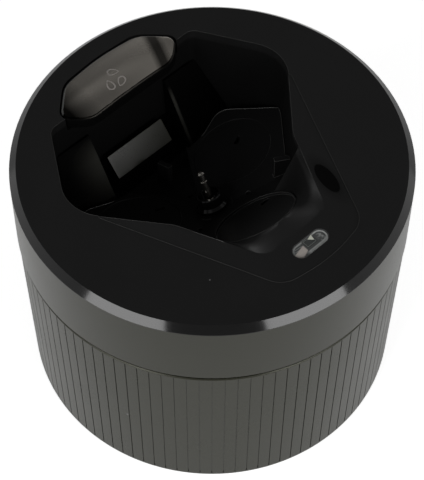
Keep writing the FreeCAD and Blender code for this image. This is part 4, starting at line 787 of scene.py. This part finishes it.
class Bench:
    """Modelling by hand: primitives, edit-mode operators and applied modifiers."""

    @staticmethod
    def clear() -> None:
        """Leaves edit mode and deselects everything."""
        if bpy.context.object and bpy.context.object.mode != "OBJECT":
            bpy.ops.object.mode_set(mode="OBJECT")
        bpy.ops.object.select_all(action="DESELECT")

    @staticmethod
    def focus(piece: bpy.types.Object) -> None:
        """Makes a piece the only selected and active one."""
        Bench.clear()
        piece.select_set(True)
        bpy.context.view_layer.objects.active = piece

    @staticmethod
    def named(name: str) -> bpy.types.Object:
        """Names the primitive that was just added.

        Args:
            name: its name and its mesh's.

        Returns:
            The primitive.
        """
        piece = bpy.context.active_object
        piece.name = name
        piece.data.name = name
        return piece

    @staticmethod
    def paint(piece: bpy.types.Object, *finishes: "Finish") -> None:
        """Adds finishes to a piece's material slots, in order."""
        for finish in finishes:
            piece.data.materials.append(finish.material())

    @staticmethod
    def edit(piece: bpy.types.Object, part: Part = Part.FACE) -> None:
        """Opens a piece in edit mode with nothing selected.

        Args:
            piece: the piece.
            part: the kind of element that edit mode selects by.
        """
        Bench.focus(piece)
        bpy.ops.object.mode_set(mode="EDIT")
        bpy.ops.mesh.select_mode(type=part.name)
        bpy.ops.mesh.select_all(action="DESELECT")

    @staticmethod
    def pick(piece: bpy.types.Object, part: Part, wanted: Callable[[Element], bool]) -> int:
        """Opens a piece in edit mode and selects the elements that a test accepts.

        Args:
            piece: the piece.
            part: the kind of element.
            wanted: the test.

        Returns:
            How many were selected.
        """
        Bench.edit(piece, part)
        mesh = bmesh.from_edit_mesh(piece.data)
        count = 0
        for element in getattr(mesh, part.value):
            element.select_set(bool(wanted(element)))
            count += element.select
        mesh.select_flush_mode()
        bmesh.update_edit_mesh(piece.data)
        return count

    @staticmethod
    def on_all(operator: Callable[..., set[str]], **settings: object) -> None:
        """Selects the whole mesh in edit mode and runs an operator on it."""
        bpy.ops.mesh.select_all(action="SELECT")
        operator(**settings)

    @staticmethod
    def lathe(name: str, outline: Sequence[tuple[float, float]], steps: int) -> bpy.types.Object:
        """Spins an outline round +Z.

        Args:
            name: the new piece's name.
            outline: its corners as (radius, height) in millimetres, in order.
            steps: how many steps the turn has.

        Returns:
            The piece, closed, with its faces outward.
        """
        Bench.clear()
        bpy.ops.mesh.primitive_plane_add(size=MM)
        piece = Bench.named(name)
        bpy.ops.object.mode_set(mode="EDIT")
        Bench.on_all(bpy.ops.mesh.merge, type="CENTER")
        bpy.ops.mesh.select_mode(type="VERT")
        here = Vector((outline[0][0], 0.0, outline[0][1])) * MM
        Bench.on_all(bpy.ops.transform.translate, value=here)
        for radius, height in outline[1:]:
            there = Vector((radius, 0.0, height)) * MM
            bpy.ops.mesh.extrude_region_move(TRANSFORM_OT_translate={"value": there - here})
            here = there
        Bench.on_all(bpy.ops.mesh.spin, steps=steps, angle=FULL_TURN, center=(0.0, 0.0, 0.0),
                     axis=(0.0, 0.0, 1.0))
        Bench.on_all(bpy.ops.mesh.remove_doubles, threshold=WELD)
        Bench.on_all(bpy.ops.mesh.normals_make_consistent, inside=False)
        bpy.ops.object.mode_set(mode="OBJECT")
        return piece

    @staticmethod
    def copy_of(node: str, name: str) -> bpy.types.Object:
        """Copies a CAD node's mesh, merged, with its flat faces whole again.

        Args:
            node: the CAD node.
            name: the new piece's name.

        Returns:
            The piece.
        """
        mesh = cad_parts[node].data.copy()
        mesh.name = name
        mesh.materials.clear()
        piece = bpy.data.objects.new(name, mesh)
        bpy.context.scene.collection.objects.link(piece)
        Bench.edit(piece)
        Bench.on_all(bpy.ops.mesh.remove_doubles, threshold=WELD)
        Bench.on_all(bpy.ops.mesh.dissolve_limited, angle_limit=math.radians(FLAT_DEG))
        bpy.ops.object.mode_set(mode="OBJECT")
        return piece

    @staticmethod
    def apply(piece: bpy.types.Object, kind: str, **settings: object) -> None:
        """Adds a modifier, sets it and applies it.

        Args:
            piece: the piece.
            kind: the modifier's type.
            settings: its properties.
        """
        Bench.focus(piece)
        modifier = piece.modifiers.new(kind.lower(), kind)
        for key, setting in settings.items():
            setattr(modifier, key, setting)
        bpy.ops.object.modifier_apply(modifier=modifier.name)

    @staticmethod
    def ease(piece: bpy.types.Object, width_mm: float, *, edge_slot: int = -1) -> None:
        """Rounds the sharp edges.

        Args:
            piece: the piece.
            width_mm: the rounding's width.
            edge_slot: the material slot that the rounded edges take, or -1 for their neighbours'.
        """
        Bench.apply(piece, "BEVEL", width=width_mm * MM, segments=2, limit_method="ANGLE",
                    angle_limit=math.radians(EDGE_DEG), use_clamp_overlap=True, loop_slide=True,
                    material=edge_slot)

    @staticmethod
    def bead(node: str, name: str, radius_mm: float, wanted: Callable[[Vector], bool],
             runs: int = 0) -> bpy.types.Object:
        """Runs a fine round bead along a CAD node's sharp upper edges.

        Args:
            node: the CAD node.
            name: the bead's name.
            radius_mm: its radius.
            wanted: a test of an edge's middle, in millimetres.
            runs: how many of the longest runs of edges are kept, or 0 for all.

        Returns:
            The bead, as closed tubes.
        """
        sharp, upward = math.radians(55.0), 0.6

        def is_lip(edge: bmesh.types.BMEdge) -> bool:
            """Tells whether an edge is convex, sharp, under a face that looks up, and wanted."""
            if len(edge.link_faces) != 2 or not edge.is_convex or edge.calc_face_angle(0.0) < sharp:
                return False
            if max(face.normal.z for face in edge.link_faces) < upward:
                return False
            return wanted((edge.verts[0].co + edge.verts[1].co) / (2 * MM))

        piece = Bench.copy_of(node, name)
        Bench.pick(piece, Part.EDGE, is_lip)
        bpy.ops.mesh.select_all(action="INVERT")
        bpy.ops.mesh.delete(type="EDGE")
        Bench.on_all(bpy.ops.mesh.delete, type="ONLY_FACE")
        Bench.on_all(bpy.ops.mesh.delete_loose, use_verts=True, use_edges=False)
        if runs:
            Bench.keep_longest(piece, runs)
        Bench.focus(piece)
        bpy.ops.object.convert(target="CURVE")
        curve = bpy.context.active_object.data
        curve.bevel_depth, curve.bevel_resolution, curve.use_fill_caps = radius_mm * MM, 1, True
        bpy.ops.object.convert(target="MESH")
        piece = Bench.named(name)
        Bench.edit(piece)
        Bench.on_all(bpy.ops.mesh.normals_make_consistent, inside=False)
        Bench.clear()
        return piece

    @staticmethod
    def keep_longest(piece: bpy.types.Object, count: int) -> None:
        """Deletes all but the longest runs of joined edges, in edit mode.

        Args:
            piece: the piece.
            count: how many runs are kept.
        """
        mesh = bmesh.from_edit_mesh(piece.data)
        left = set(mesh.verts)
        runs: list[tuple[float, int, list[bmesh.types.BMVert]]] = []
        while left:
            run, reach = [], [min(left, key=lambda vertex: vertex.index)]
            left.discard(reach[0])
            while reach:
                vertex = reach.pop()
                run.append(vertex)
                for edge in vertex.link_edges:
                    other = edge.other_vert(vertex)
                    if other in left:
                        left.discard(other)
                        reach.append(other)
            length = sum(edge.calc_length() for vertex in run for edge in vertex.link_edges)
            runs.append((round(length, 5), -run[0].index, run))
        runs.sort(key=lambda entry: entry[:2], reverse=True)
        best = {vertex for _, _, run in runs[:count] for vertex in run}
        for vertex in mesh.verts:
            vertex.select_set(vertex not in best)
        bmesh.update_edit_mesh(piece.data)
        bpy.ops.mesh.delete(type="VERT")

    @staticmethod
    def smooth(piece: bpy.types.Object, angle: float) -> None:
        """Shades a piece smooth where its faces meet at less than an angle, with broad faces flat.

        Args:
            piece: the piece.
            angle: the angle in degrees.
        """
        Bench.focus(piece)
        bpy.ops.object.shade_smooth_by_angle(angle=math.radians(angle))
        Bench.apply(piece, "WEIGHTED_NORMAL", keep_sharp=True, weight=90, mode="FACE_AREA")

    @staticmethod
    def settle(piece: bpy.types.Object, where: Matrix) -> None:
        """Moves a piece and applies that to its mesh.

        Args:
            piece: the piece.
            where: the move.
        """
        Bench.focus(piece)
        piece.matrix_world = where @ piece.matrix_world
        bpy.context.view_layer.update()
        bpy.ops.object.transform_apply(location=True, rotation=True, scale=True)


def hand_over(piece: bpy.types.Object, body: str, finish: Finish, slot: str, angle: float,
              *replaces: str) -> None:
    """Smooths a piece and gives it its finish, its body and the CAD nodes it stands for.

    Args:
        piece: the piece, with its place in its mesh.
        body: the CAD body that it moves with.
        finish: the finish it shows, where it has none yet.
        slot: not used.
        angle: the angle in degrees up to which its faces are shaded as one.
        replaces: the CAD nodes it stands for.
    """
    Bench.smooth(piece, angle)
    if not piece.data.materials:
        Bench.paint(piece, finish)
    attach(piece, body)
    if replaces:
        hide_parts(*replaces)
    LOG.info("%s: %d faces, rides on %s", piece.name, len(piece.data.polygons), body)


# ---------------------------------------------------------------- the base


@dataclass
class Tub:
    """The grooved outer shell with the cartridge bay. The roundings are its widths and heights."""

    groove_count: int = 100
    columns_per_groove: int = 12
    groove_depth_mm: float = 0.28
    groove_top_mm: float = 63.5
    groove_bottom_mm: float = 2.6
    batter_mm: float = 1.2
    mouth_mm: float = 56.9
    bay_mm: float = 54.9
    ledge_mm: float = 50.0
    floor_mm: float = 3.2
    lip_round_mm: float = 0.3
    crown_round_mm: Span = (0.05, 0.35)
    foot_round_mm: tuple[tuple[float, float], ...] = ((1.1, 0.0), (0.35, 0.3), (0.0, 1.0))
    outer_margin_mm: float = 0.5
    angle: float = 30.0

    def build(self) -> None:
        """Builds the shell in place of its plain CAD form."""
        low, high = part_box("base_shell")
        bottom, top, crown = low.z / MM, high.z / MM, high.x / MM
        foot = crown - self.batter_mm
        slope = (crown - foot) / (top - bottom)
        soft, (near, far) = self.lip_round_mm, self.crown_round_mm
        ends = self.groove_bottom_mm, self.groove_top_mm
        outline = [
            (0.0, bottom), *((foot - back, bottom + up) for back, up in self.foot_round_mm),
            *((foot + slope * (height - bottom), height) for height in ends),
            (crown - near, top - far), (crown - far, top), (self.mouth_mm + soft, top),
            (self.mouth_mm, top - soft), (self.mouth_mm, self.ledge_mm), (self.bay_mm, self.ledge_mm),
            (self.bay_mm, self.floor_mm), (0.0, self.floor_mm)]
        shell = Bench.lathe("grooved_tub", outline, self.groove_count * self.columns_per_groove)
        self.cut_grooves(shell)
        hand_over(shell, "base", Finish.TUB, "grooved_shell", self.angle, "base_shell")

    def cut_grooves(self, shell: bpy.types.Object) -> None:
        """Sinks one column of faces in every groove's width.

        Args:
            shell: the plain shell.
        """
        middle = (self.groove_bottom_mm + self.groove_top_mm) / 2 * MM
        step = FULL_TURN / (self.groove_count * self.columns_per_groove)
        outside = (self.mouth_mm + self.outer_margin_mm) * MM

        def is_groove(face: bmesh.types.BMFace) -> bool:
            """Tells whether a face is the outer wall's and in a groove's column."""
            centre = face.calc_center_median()
            if abs(centre.z - middle) > MM or math.hypot(centre.x, centre.y) < outside:
                return False
            column = math.floor((math.atan2(centre.y, centre.x) % FULL_TURN) / step)
            return column % self.columns_per_groove == 0

        picked = Bench.pick(shell, Part.FACE, is_groove)
        bpy.ops.mesh.extrude_region_shrink_fatten(
            TRANSFORM_OT_shrink_fatten={"value": -self.groove_depth_mm * MM})
        Bench.clear()
        LOG.info("cut %d grooves", picked)


# ---------------------------------------------------------------- the head's shells


@dataclass
class Collar:
    """The smooth band between the seam and the deck."""

    steps: int = 256
    round_mm: float = 0.4
    crown_round_mm: float = 0.02
    wall_mm: float = 2.1
    lip_mm: float = 56.9
    lip_height_mm: float = 1.0
    round_share: float = 0.3
    angle: float = 30.0

    def build(self) -> None:
        """Builds the band with eased edges."""
        low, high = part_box("collar_ring")
        bottom, top, outer = low.z / MM, high.z / MM, high.x / MM
        inner, step = outer - self.wall_mm, bottom + self.lip_height_mm
        soft, fine, corner = self.round_mm, self.crown_round_mm, self.round_share * self.round_mm
        outline = [
            (self.lip_mm, bottom), (outer - soft, bottom), (outer - corner, bottom + corner),
            (outer, bottom + soft), (outer, top - fine), (outer - fine, top), (inner, top),
            (inner, step), (self.lip_mm, step), (self.lip_mm, bottom)]
        band = Bench.lathe("collar_band", outline, self.steps)
        hand_over(band, "head", Finish.COLLAR, "collar_satin", self.angle, "collar_ring")


@dataclass
class DeckTop:
    """The black top with its rim, the hollow round the front and the well."""

    edge_mm: float = 0.22
    line_mm: float = 0.09
    line_reach_mm: float = 0.2
    button_front_mm: float = 34.0
    button_half_mm: float = 23.0
    angle: float = 32.0

    def build(self) -> None:
        """Builds the top with its edges eased and given a painted highlight, and a fine bead with a painted
        highlight along the well and the ramp.
        """
        top = Bench.copy_of("deck_cover", "deck_top")
        Bench.paint(top, Finish.DECK, Finish.DECK_EDGE)
        # painted highlight: the eased edges take a paler colour than the deck
        Bench.ease(top, self.edge_mm, edge_slot=1)
        hand_over(top, "head", Finish.DECK, "deck_black", self.angle, "deck_cover")
        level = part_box("collar_ring")[1].z / MM - self.line_reach_mm

        def on_deck(middle: Vector) -> bool:
            """Tells whether an edge is at the deck's level and away from the button."""
            by_button = middle.y > self.button_front_mm and abs(middle.x) < self.button_half_mm
            return middle.z > level and not by_button

        # painted highlight: a fine pale bead along the well's mouth and the ramp
        line = Bench.bead("deck_cover", "deck_lines", self.line_mm, on_deck)
        hand_over(line, "head", Finish.DECK_LINE, "deck_black", ROUND_DEG)


@dataclass
class Cradle:
    """The three-petalled tray, and the rest and block behind it.

    The painted highlight on the tray's edges stops in its rear half, below a height, except round the hub.
    """

    edge_mm: float = 0.25
    lip_mm: float = 0.14
    lip_inner_mm: float = 16.0
    lip_runs: int = 2
    rear_mm: float = 6.0
    rear_top_mm: float = 76.0
    hub_half_mm: float = 6.0
    hub_foot_mm: float = 63.0
    block_edge_mm: float = 0.3
    slope_lean: float = 0.3
    angle: float = 34.0

    def build(self) -> None:
        """Builds the tray, its lip bead with a painted highlight, the rest and the block."""
        self.lay_tray()
        # painted highlight: a fine pale bead along the petals' outer edges
        lip = Bench.bead("cradle_tray", "petal_lip", self.lip_mm,
                         lambda middle: abs(middle.x) > self.lip_inner_mm, self.lip_runs)
        hand_over(lip, "head", Finish.LIP, "tray_grey", ROUND_DEG)
        rest = Bench.copy_of("back_rest", "rear_rest")
        hand_over(rest, "head", Finish.SLOPE, "rest_black", self.angle, "back_rest")
        self.set_block()

    def lay_tray(self) -> None:
        """Builds the tray with a painted highlight on its edges."""
        tray = Bench.copy_of("cradle_tray", "petal_tray")
        Bench.paint(tray, Finish.TRAY, Finish.TRAY_EDGE)
        # painted highlight: the eased edges take a paler colour than the tray
        Bench.ease(tray, self.edge_mm, edge_slot=1)
        for polygon in tray.data.polygons:
            x, y, z = polygon.center / MM
            by_hub = abs(x) < self.hub_half_mm and z > self.hub_foot_mm
            if y > self.rear_mm and z < self.rear_top_mm and not by_hub:
                polygon.material_index = 0
        hand_over(tray, "head", Finish.TRAY, "tray_grey", self.angle, "cradle_tray")

    def set_block(self) -> None:
        """Builds the block with a painted highlight on its front slope."""
        block = Bench.copy_of("rest_block", "rear_block")
        Bench.ease(block, self.block_edge_mm)
        Bench.paint(block, Finish.REST, Finish.PATCH)
        # painted highlight: the faces that look up and forward take a paler colour
        for polygon in block.data.polygons:
            if polygon.normal.z > self.slope_lean and polygon.normal.y < -self.slope_lean:
                polygon.material_index = 1
        hand_over(block, "head", Finish.REST, "rest_black", self.angle, "rest_block")


@dataclass
class Button:
    """The start button with its three raised drops, its crown a little lower to leave them room.

    Each drop is given by its middle and the point that its tip looks towards.
    """

    upper_mm: float = 3.0
    settle_mm: float = 0.09
    crown_flat: float = 0.93
    side_flat: float = 0.55
    rear_y_mm: float = 42.0
    drop_radius_mm: float = 1.08
    drop_tip_mm: float = 1.20
    drop_pull: float = 1.3
    drop_flat: float = 0.18
    tip_deg: float = 5.0
    line_mm: float = 0.24
    rise_mm: float = 0.05
    crown_mm: float = 160.0
    roll_mm: float = 22.0
    roll_y_mm: float = 43.0
    angle: float = 40.0
    drops: tuple[tuple[float, float, float, float], ...] = (
        (-1.45, 43.45, 0.25, 42.3), (-4.75, 39.5, -4.4, 42.3), (-0.7, 39.3, -3.1, 37.6))

    def build(self) -> None:
        """Builds the pad, its drops and the spring under it."""
        self.shape_pad()
        for index, (x, y, tip_x, tip_y) in enumerate(self.drops):
            drop = self.shape_drop(f"start_mark_{index}")
            Bench.settle(drop, self.on_crown(x, y, math.atan2(tip_y - y, tip_x - x)))
            hand_over(drop, "button", Finish.MARK, "button_gloss", ROUND_DEG)
        self.coil_spring()

    def shape_pad(self) -> None:
        """Builds the pad, each face with the crown's satin or a copy with painted shade or painted light, by
        the side that it is on.
        """
        pad = Bench.copy_of("start_button", "start_pad")
        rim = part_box("start_button")[1].z - self.upper_mm * MM
        Bench.pick(pad, Part.VERT, lambda vertex: vertex.co.z > rim)
        bpy.ops.transform.translate(value=(0.0, 0.0, -self.settle_mm * MM))
        Bench.clear()
        finishes = (Finish.BUTTON, Finish.BUTTON_EDGE, Finish.BUTTON_SIDE, Finish.BUTTON_REAR)
        Bench.paint(pad, *finishes)
        for polygon in pad.data.polygons:
            polygon.material_index = finishes.index(self.finish_of(polygon))
        hand_over(pad, "button", Finish.BUTTON, "button_gloss", self.angle, "start_button")

    def finish_of(self, polygon: bpy.types.MeshPolygon) -> Finish:
        """Chooses the material of one face of the pad.

        Args:
            polygon: the face.

        Returns:
            The crown's satin, the copy with painted shade on the rolled edge and the steep sides, or the copy
            with painted light on the rear.
        """
        # painted shade on the rolled edge and the steep sides, painted light on the rear
        if polygon.normal.z > self.crown_flat:
            return Finish.BUTTON
        if polygon.center.y > self.rear_y_mm * MM:
            return Finish.BUTTON_REAR
        return Finish.BUTTON_EDGE if polygon.normal.z > self.side_flat else Finish.BUTTON_SIDE

    @staticmethod
    def coil_spring() -> None:
        """Makes the return spring again from its CAD node, in steel, and hides the node."""
        coil = Bench.copy_of("button_spring", "return_spring")
        Bench.paint(coil, Finish.STEEL)
        Bench.smooth(coil, ROUND_DEG)
        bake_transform(coil)
        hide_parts("button_spring")
        LOG.info("%s: %d faces, between head and button", coil.name, len(coil.data.polygons))

    def shape_drop(self, name: str) -> bpy.types.Object:
        """Makes the outline of one drop, flat, with its tip towards +X.

        Args:
            name: the drop's name.

        Returns:
            The drop.
        """
        Bench.clear()
        radius, tip = self.drop_radius_mm * MM, math.radians(self.tip_deg)
        bpy.ops.mesh.primitive_torus_add(major_segments=48, minor_segments=8,
                                         major_radius=radius, minor_radius=self.line_mm * MM)
        drop = Bench.named(name)
        Bench.pick(drop, Part.VERT, lambda vertex: abs(math.atan2(vertex.co.y, vertex.co.x)) < tip)
        bpy.ops.transform.translate(value=(self.drop_tip_mm * MM, 0.0, 0.0), use_proportional_edit=True,
                                    proportional_edit_falloff="LINEAR",
                                    proportional_size=self.drop_pull * radius)
        Bench.on_all(bpy.ops.transform.resize, value=(1.0, 1.0, self.drop_flat),
                     center_override=(0.0, 0.0, 0.0))
        Bench.clear()
        return drop

    def on_crown(self, x: float, y: float, turn: float) -> Matrix:
        """Finds a place on the pad's crown.

        Args:
            x: its place across, in millimetres.
            y: its place towards the rear, in millimetres.
            turn: the turn about the crown's normal there, in radians.

        Returns:
            The move from the origin.
        """
        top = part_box("start_button")[1].z / MM - self.settle_mm
        profile = self.crown_mm - self.roll_mm + math.sqrt(self.roll_mm ** 2 - (y - self.roll_y_mm) ** 2)
        height = top - self.crown_mm + math.sqrt(profile ** 2 - x ** 2)
        normal = Vector((x / self.crown_mm, (y - self.roll_y_mm) / self.roll_mm, 1.0)).normalized()
        lean = Vector((0.0, 0.0, 1.0)).rotation_difference(normal).to_matrix().to_4x4()
        place = Vector((x, y, height)) - normal * (self.drop_flat * self.line_mm - self.rise_mm)
        return Matrix.Translation(place * MM) @ lean @ Matrix.Rotation(turn, 4, "Z")


@dataclass
class Window:
    """What shows through the clear window: the light guide and the framed lamp on it."""

    depth_mm: float = 0.35
    plate_mm: float = 0.12
    plate_inset_mm: float = 0.05
    lamp_at_mm: Span = (0.44, -40.23)
    lamp_size_mm: Span = (3.85, 2.8)
    line_mm: float = 0.22
    glint_mm: float = 1.13
    glint_deep_mm: float = 0.03
    glint_at_mm: Span = (1.56, -39.63)
    glint_turn_deg: float = -43.0
    angle: float = 40.0
    layers: tuple[tuple[str, float, Finish], ...] = (
        ("lamp_frame", 0.05, Finish.LAMP_EDGE), ("lamp_face", 0.04, Finish.LAMP),
        ("lamp_well", 0.03, Finish.LAMP_EDGE))

    def build(self) -> None:
        """Builds the guide, the lamp's frame, its face and its glint."""
        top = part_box("clear_window")[1].z / MM - self.depth_mm
        guide = Finish.GUIDE.value
        deep = guide.round_mm - self.plate_inset_mm
        plate = self.slab("light_guide", guide.half_mm + deep, deep, top - self.plate_mm, self.plate_mm)
        Bench.apply(plate, "BEVEL", width=(deep - self.plate_inset_mm) * MM, segments=12, affect="EDGES",
                    limit_method="VGROUP", vertex_group="corners")
        self.lay(plate, (0.0, guide.middle_mm), Finish.GUIDE)
        for index, (name, height, finish) in enumerate(self.layers):
            half_x, half_y = (size / 2 - index * self.line_mm for size in self.lamp_size_mm)
            self.lay(self.slab(name, half_x, half_y, top, height), self.lamp_at_mm, finish)
            top += height
        self.cut_glint(top)

    def slab(self, name: str, half_x: float, half_y: float, bottom: float, height: float) -> bpy.types.Object:
        """Makes a flat box, with its corners in a vertex group.

        Args:
            name: its name.
            half_x: half its width, in millimetres, as are the next three.
            half_y: half its depth.
            bottom: its underside's height.
            height: its thickness.

        Returns:
            The box.
        """
        Bench.clear()
        bpy.ops.mesh.primitive_cube_add(size=1.0, scale=(2 * half_x * MM, 2 * half_y * MM, height * MM),
                                        location=(0.0, 0.0, (bottom + height / 2) * MM))
        slab = Bench.named(name)
        bpy.ops.object.transform_apply(location=True, rotation=True, scale=True)
        group = slab.vertex_groups.new(name="corners")
        group.add(list(range(len(slab.data.vertices))), 1.0, "REPLACE")
        return slab

    def lay(self, piece: bpy.types.Object, place: Span, finish: Finish) -> None:
        """Moves a piece over its place in plan, in millimetres, and hands it over."""
        Bench.settle(piece, Matrix.Translation(Vector((*place, 0.0)) * MM))
        hand_over(piece, "head", finish, "lamp_milky", self.angle)

    def cut_glint(self, bottom: float) -> None:
        """Makes the painted glint, a bright three-cornered slab at the lamp's inner corner.

        Args:
            bottom: its underside's height in millimetres.
        """
        Bench.clear()
        middle = (bottom + self.glint_deep_mm / 2) * MM
        bpy.ops.mesh.primitive_cylinder_add(vertices=3, radius=self.glint_mm * MM,
                                            depth=self.glint_deep_mm * MM, location=(0.0, 0.0, middle))
        glint = Bench.named("lamp_glint")
        Bench.settle(glint, Matrix.Rotation(math.radians(self.glint_turn_deg), 4, "Z"))
        self.lay(glint, self.glint_at_mm, Finish.LAMP_GLINT)


# ---------------------------------------------------------------- light and camera


@dataclass(frozen=True)
class SoftLamp:
    """A soft rectangular lamp that faces the object, placed by angles counted from +X and the horizon."""

    name: str
    azimuth_deg: float
    elevation_deg: float
    width_m: float
    height_m: float
    distance_m: float = 1.25
    aim_m: float = 0.08
    level: float = 5.0

    def hang(self) -> None:
        """Adds the lamp, as bright over its face at any size."""
        turn, lift = math.radians(self.azimuth_deg), math.radians(self.elevation_deg)
        away = Vector((math.cos(turn) * math.cos(lift), math.sin(turn) * math.cos(lift), math.sin(lift)))
        data = bpy.data.lights.new(self.name, "AREA")
        data.shape = "RECTANGLE"
        data.size, data.size_y = self.width_m, self.height_m
        data.energy = self.level * math.pi * self.width_m * self.height_m
        lamp = bpy.data.objects.new(self.name, data)
        bpy.context.scene.collection.objects.link(lamp)
        lamp.location = away * self.distance_m + Vector((0.0, 0.0, self.aim_m))
        lamp.rotation_euler = away.to_track_quat("Z", "Y").to_euler()


@dataclass
class Studio:
    """The table, the sky, two soft lamps and the camera. The sky is given as (height, level)."""

    eye: Trio = (-0.2244, -0.2381, 0.5363)
    look: Trio = (0.3816, 0.4049, -0.8310)
    roll_deg: float = 0.279
    lens_mm: float = 140.46
    sensor_mm: float = 36.0
    clip_m: Span = (0.01, 20.0)
    table_m: float = 3.0
    table_cells: int = 8
    lamps: tuple[SoftLamp, ...] = (
        SoftLamp("lamp_left", 186.0, 29.0, 0.75, 0.50), SoftLamp("lamp_right", -88.6, 28.0, 0.78, 0.45))
    sky: tuple[tuple[float, float], ...] = (
        (0.0, 0.95), (0.30, 0.50), (0.50, 0.14), (0.62, 0.12), (0.69, 0.03), (0.78, 0.12), (0.86, 0.14),
        (0.94, 0.05), (1.0, 0.05))

    def build(self) -> None:
        """Sets everything up."""
        self.lay_table()
        self.hang_sky()
        for lamp in self.lamps:
            lamp.hang()
        self.aim_camera()

    def lay_table(self) -> None:
        """Adds the table top."""
        Bench.clear()
        bpy.ops.mesh.primitive_grid_add(x_subdivisions=self.table_cells, y_subdivisions=self.table_cells,
                                        size=self.table_m)
        table = Bench.named("table_top")
        table.data.materials.append(Backdrop().material())

    def hang_sky(self) -> None:
        """Makes the room: white where the camera looks past the table, darker overhead."""
        world = bpy.data.worlds.new("room")
        bpy.context.scene.world = world
        graph = Graph("room", world)
        height = graph.axes(graph.signal("ShaderNodeTexCoord", output="Generated"))[2]
        stops = [(place, scaled(WHITE, level)) for place, level in self.sky]
        tone = graph.signal("ShaderNodeValToRGB", {"stops": stops}, {0: height})
        room, white = (graph.signal("ShaderNodeBackground", {}, {"Color": colour})
                       for colour in (tone, (*WHITE, 1.0)))
        seen = graph.signal("ShaderNodeLightPath", output="Is Camera Ray")
        both = graph.signal("ShaderNodeMixShader", {}, {0: seen, 1: room, 2: white})
        graph.node("ShaderNodeOutputWorld", {}, {"Surface": both})

    def aim_camera(self) -> None:
        """Places the camera."""
        forward = Vector(self.look).normalized()
        right = forward.cross(Vector((0.0, 0.0, 1.0))).normalized()
        up = right.cross(forward)
        roll = math.radians(self.roll_deg)
        across = right * math.cos(roll) + up * math.sin(roll)
        above = up * math.cos(roll) - right * math.sin(roll)
        data = bpy.data.cameras.new("camera")
        data.lens, data.sensor_width = self.lens_mm, self.sensor_mm
        data.clip_start, data.clip_end = self.clip_m
        camera = bpy.data.objects.new("camera", data)
        bpy.context.scene.collection.objects.link(camera)
        turn = Matrix((across, above, -forward)).transposed().to_4x4()
        camera.matrix_world = Matrix.Translation(self.eye) @ turn
        bpy.context.scene.camera = camera
        bpy.context.scene.view_settings.view_transform = "Standard"


CAD_FINISHES: dict[Finish, tuple[str, ...]] = {
    Finish.RUBBER: ("rubber_feet", "port_seal", "head_gasket", "shaft_seal", "pump_gasket"),
    Finish.INNER: ("lock_ring", "head_bowl", "pump_housing", "pump_cover", "button_bracket",
                   "switch_body", "cell_holder"),
    Finish.TANK: ("cartridge_tank",),
    Finish.LID: ("cartridge_lid", "intake_tube", "intake_strainer"),
    Finish.FELT: ("cartridge_filter",),
    Finish.STEEL: ("drain_strainer", "spindle_shaft", "idler_pin", "button_hinge_pin"),
    Finish.SCREW: ("cover_screws", "pump_screws", "bracket_screws", "board_screws"),
    Finish.HUB: ("spindle_hub",),
    Finish.GEAR: ("drive_gear", "idler_gear", "switch_plunger"),
    Finish.BRASS: ("spindle_bush",),
    Finish.CLEAR: ("clear_window",),
    Finish.LAMP: ("indicator_lamp",),
    Finish.BOARD: ("control_board",),
    Finish.CELL: ("coin_cells",),
}


def dress_cad_nodes() -> None:
    """Gives every CAD node that stays its finish."""
    for finish, nodes in CAD_FINISHES.items():
        for node in nodes:
            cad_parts[node].data.materials.clear()
            Bench.paint(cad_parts[node], finish)
            LOG.info("%s: %s", node, finish.value.name)


def main() -> None:
    """Builds every class in order."""
    logging.basicConfig(level=logging.INFO, format="%(name)s: %(message)s")
    dress_cad_nodes()
    for maker in (Tub(), Collar(), DeckTop(), Cradle(), Button(), Window(), Studio()):
        maker.build()
        LOG.info("finished %s", type(maker).__name__)


if __name__ == "__main__":
    main()
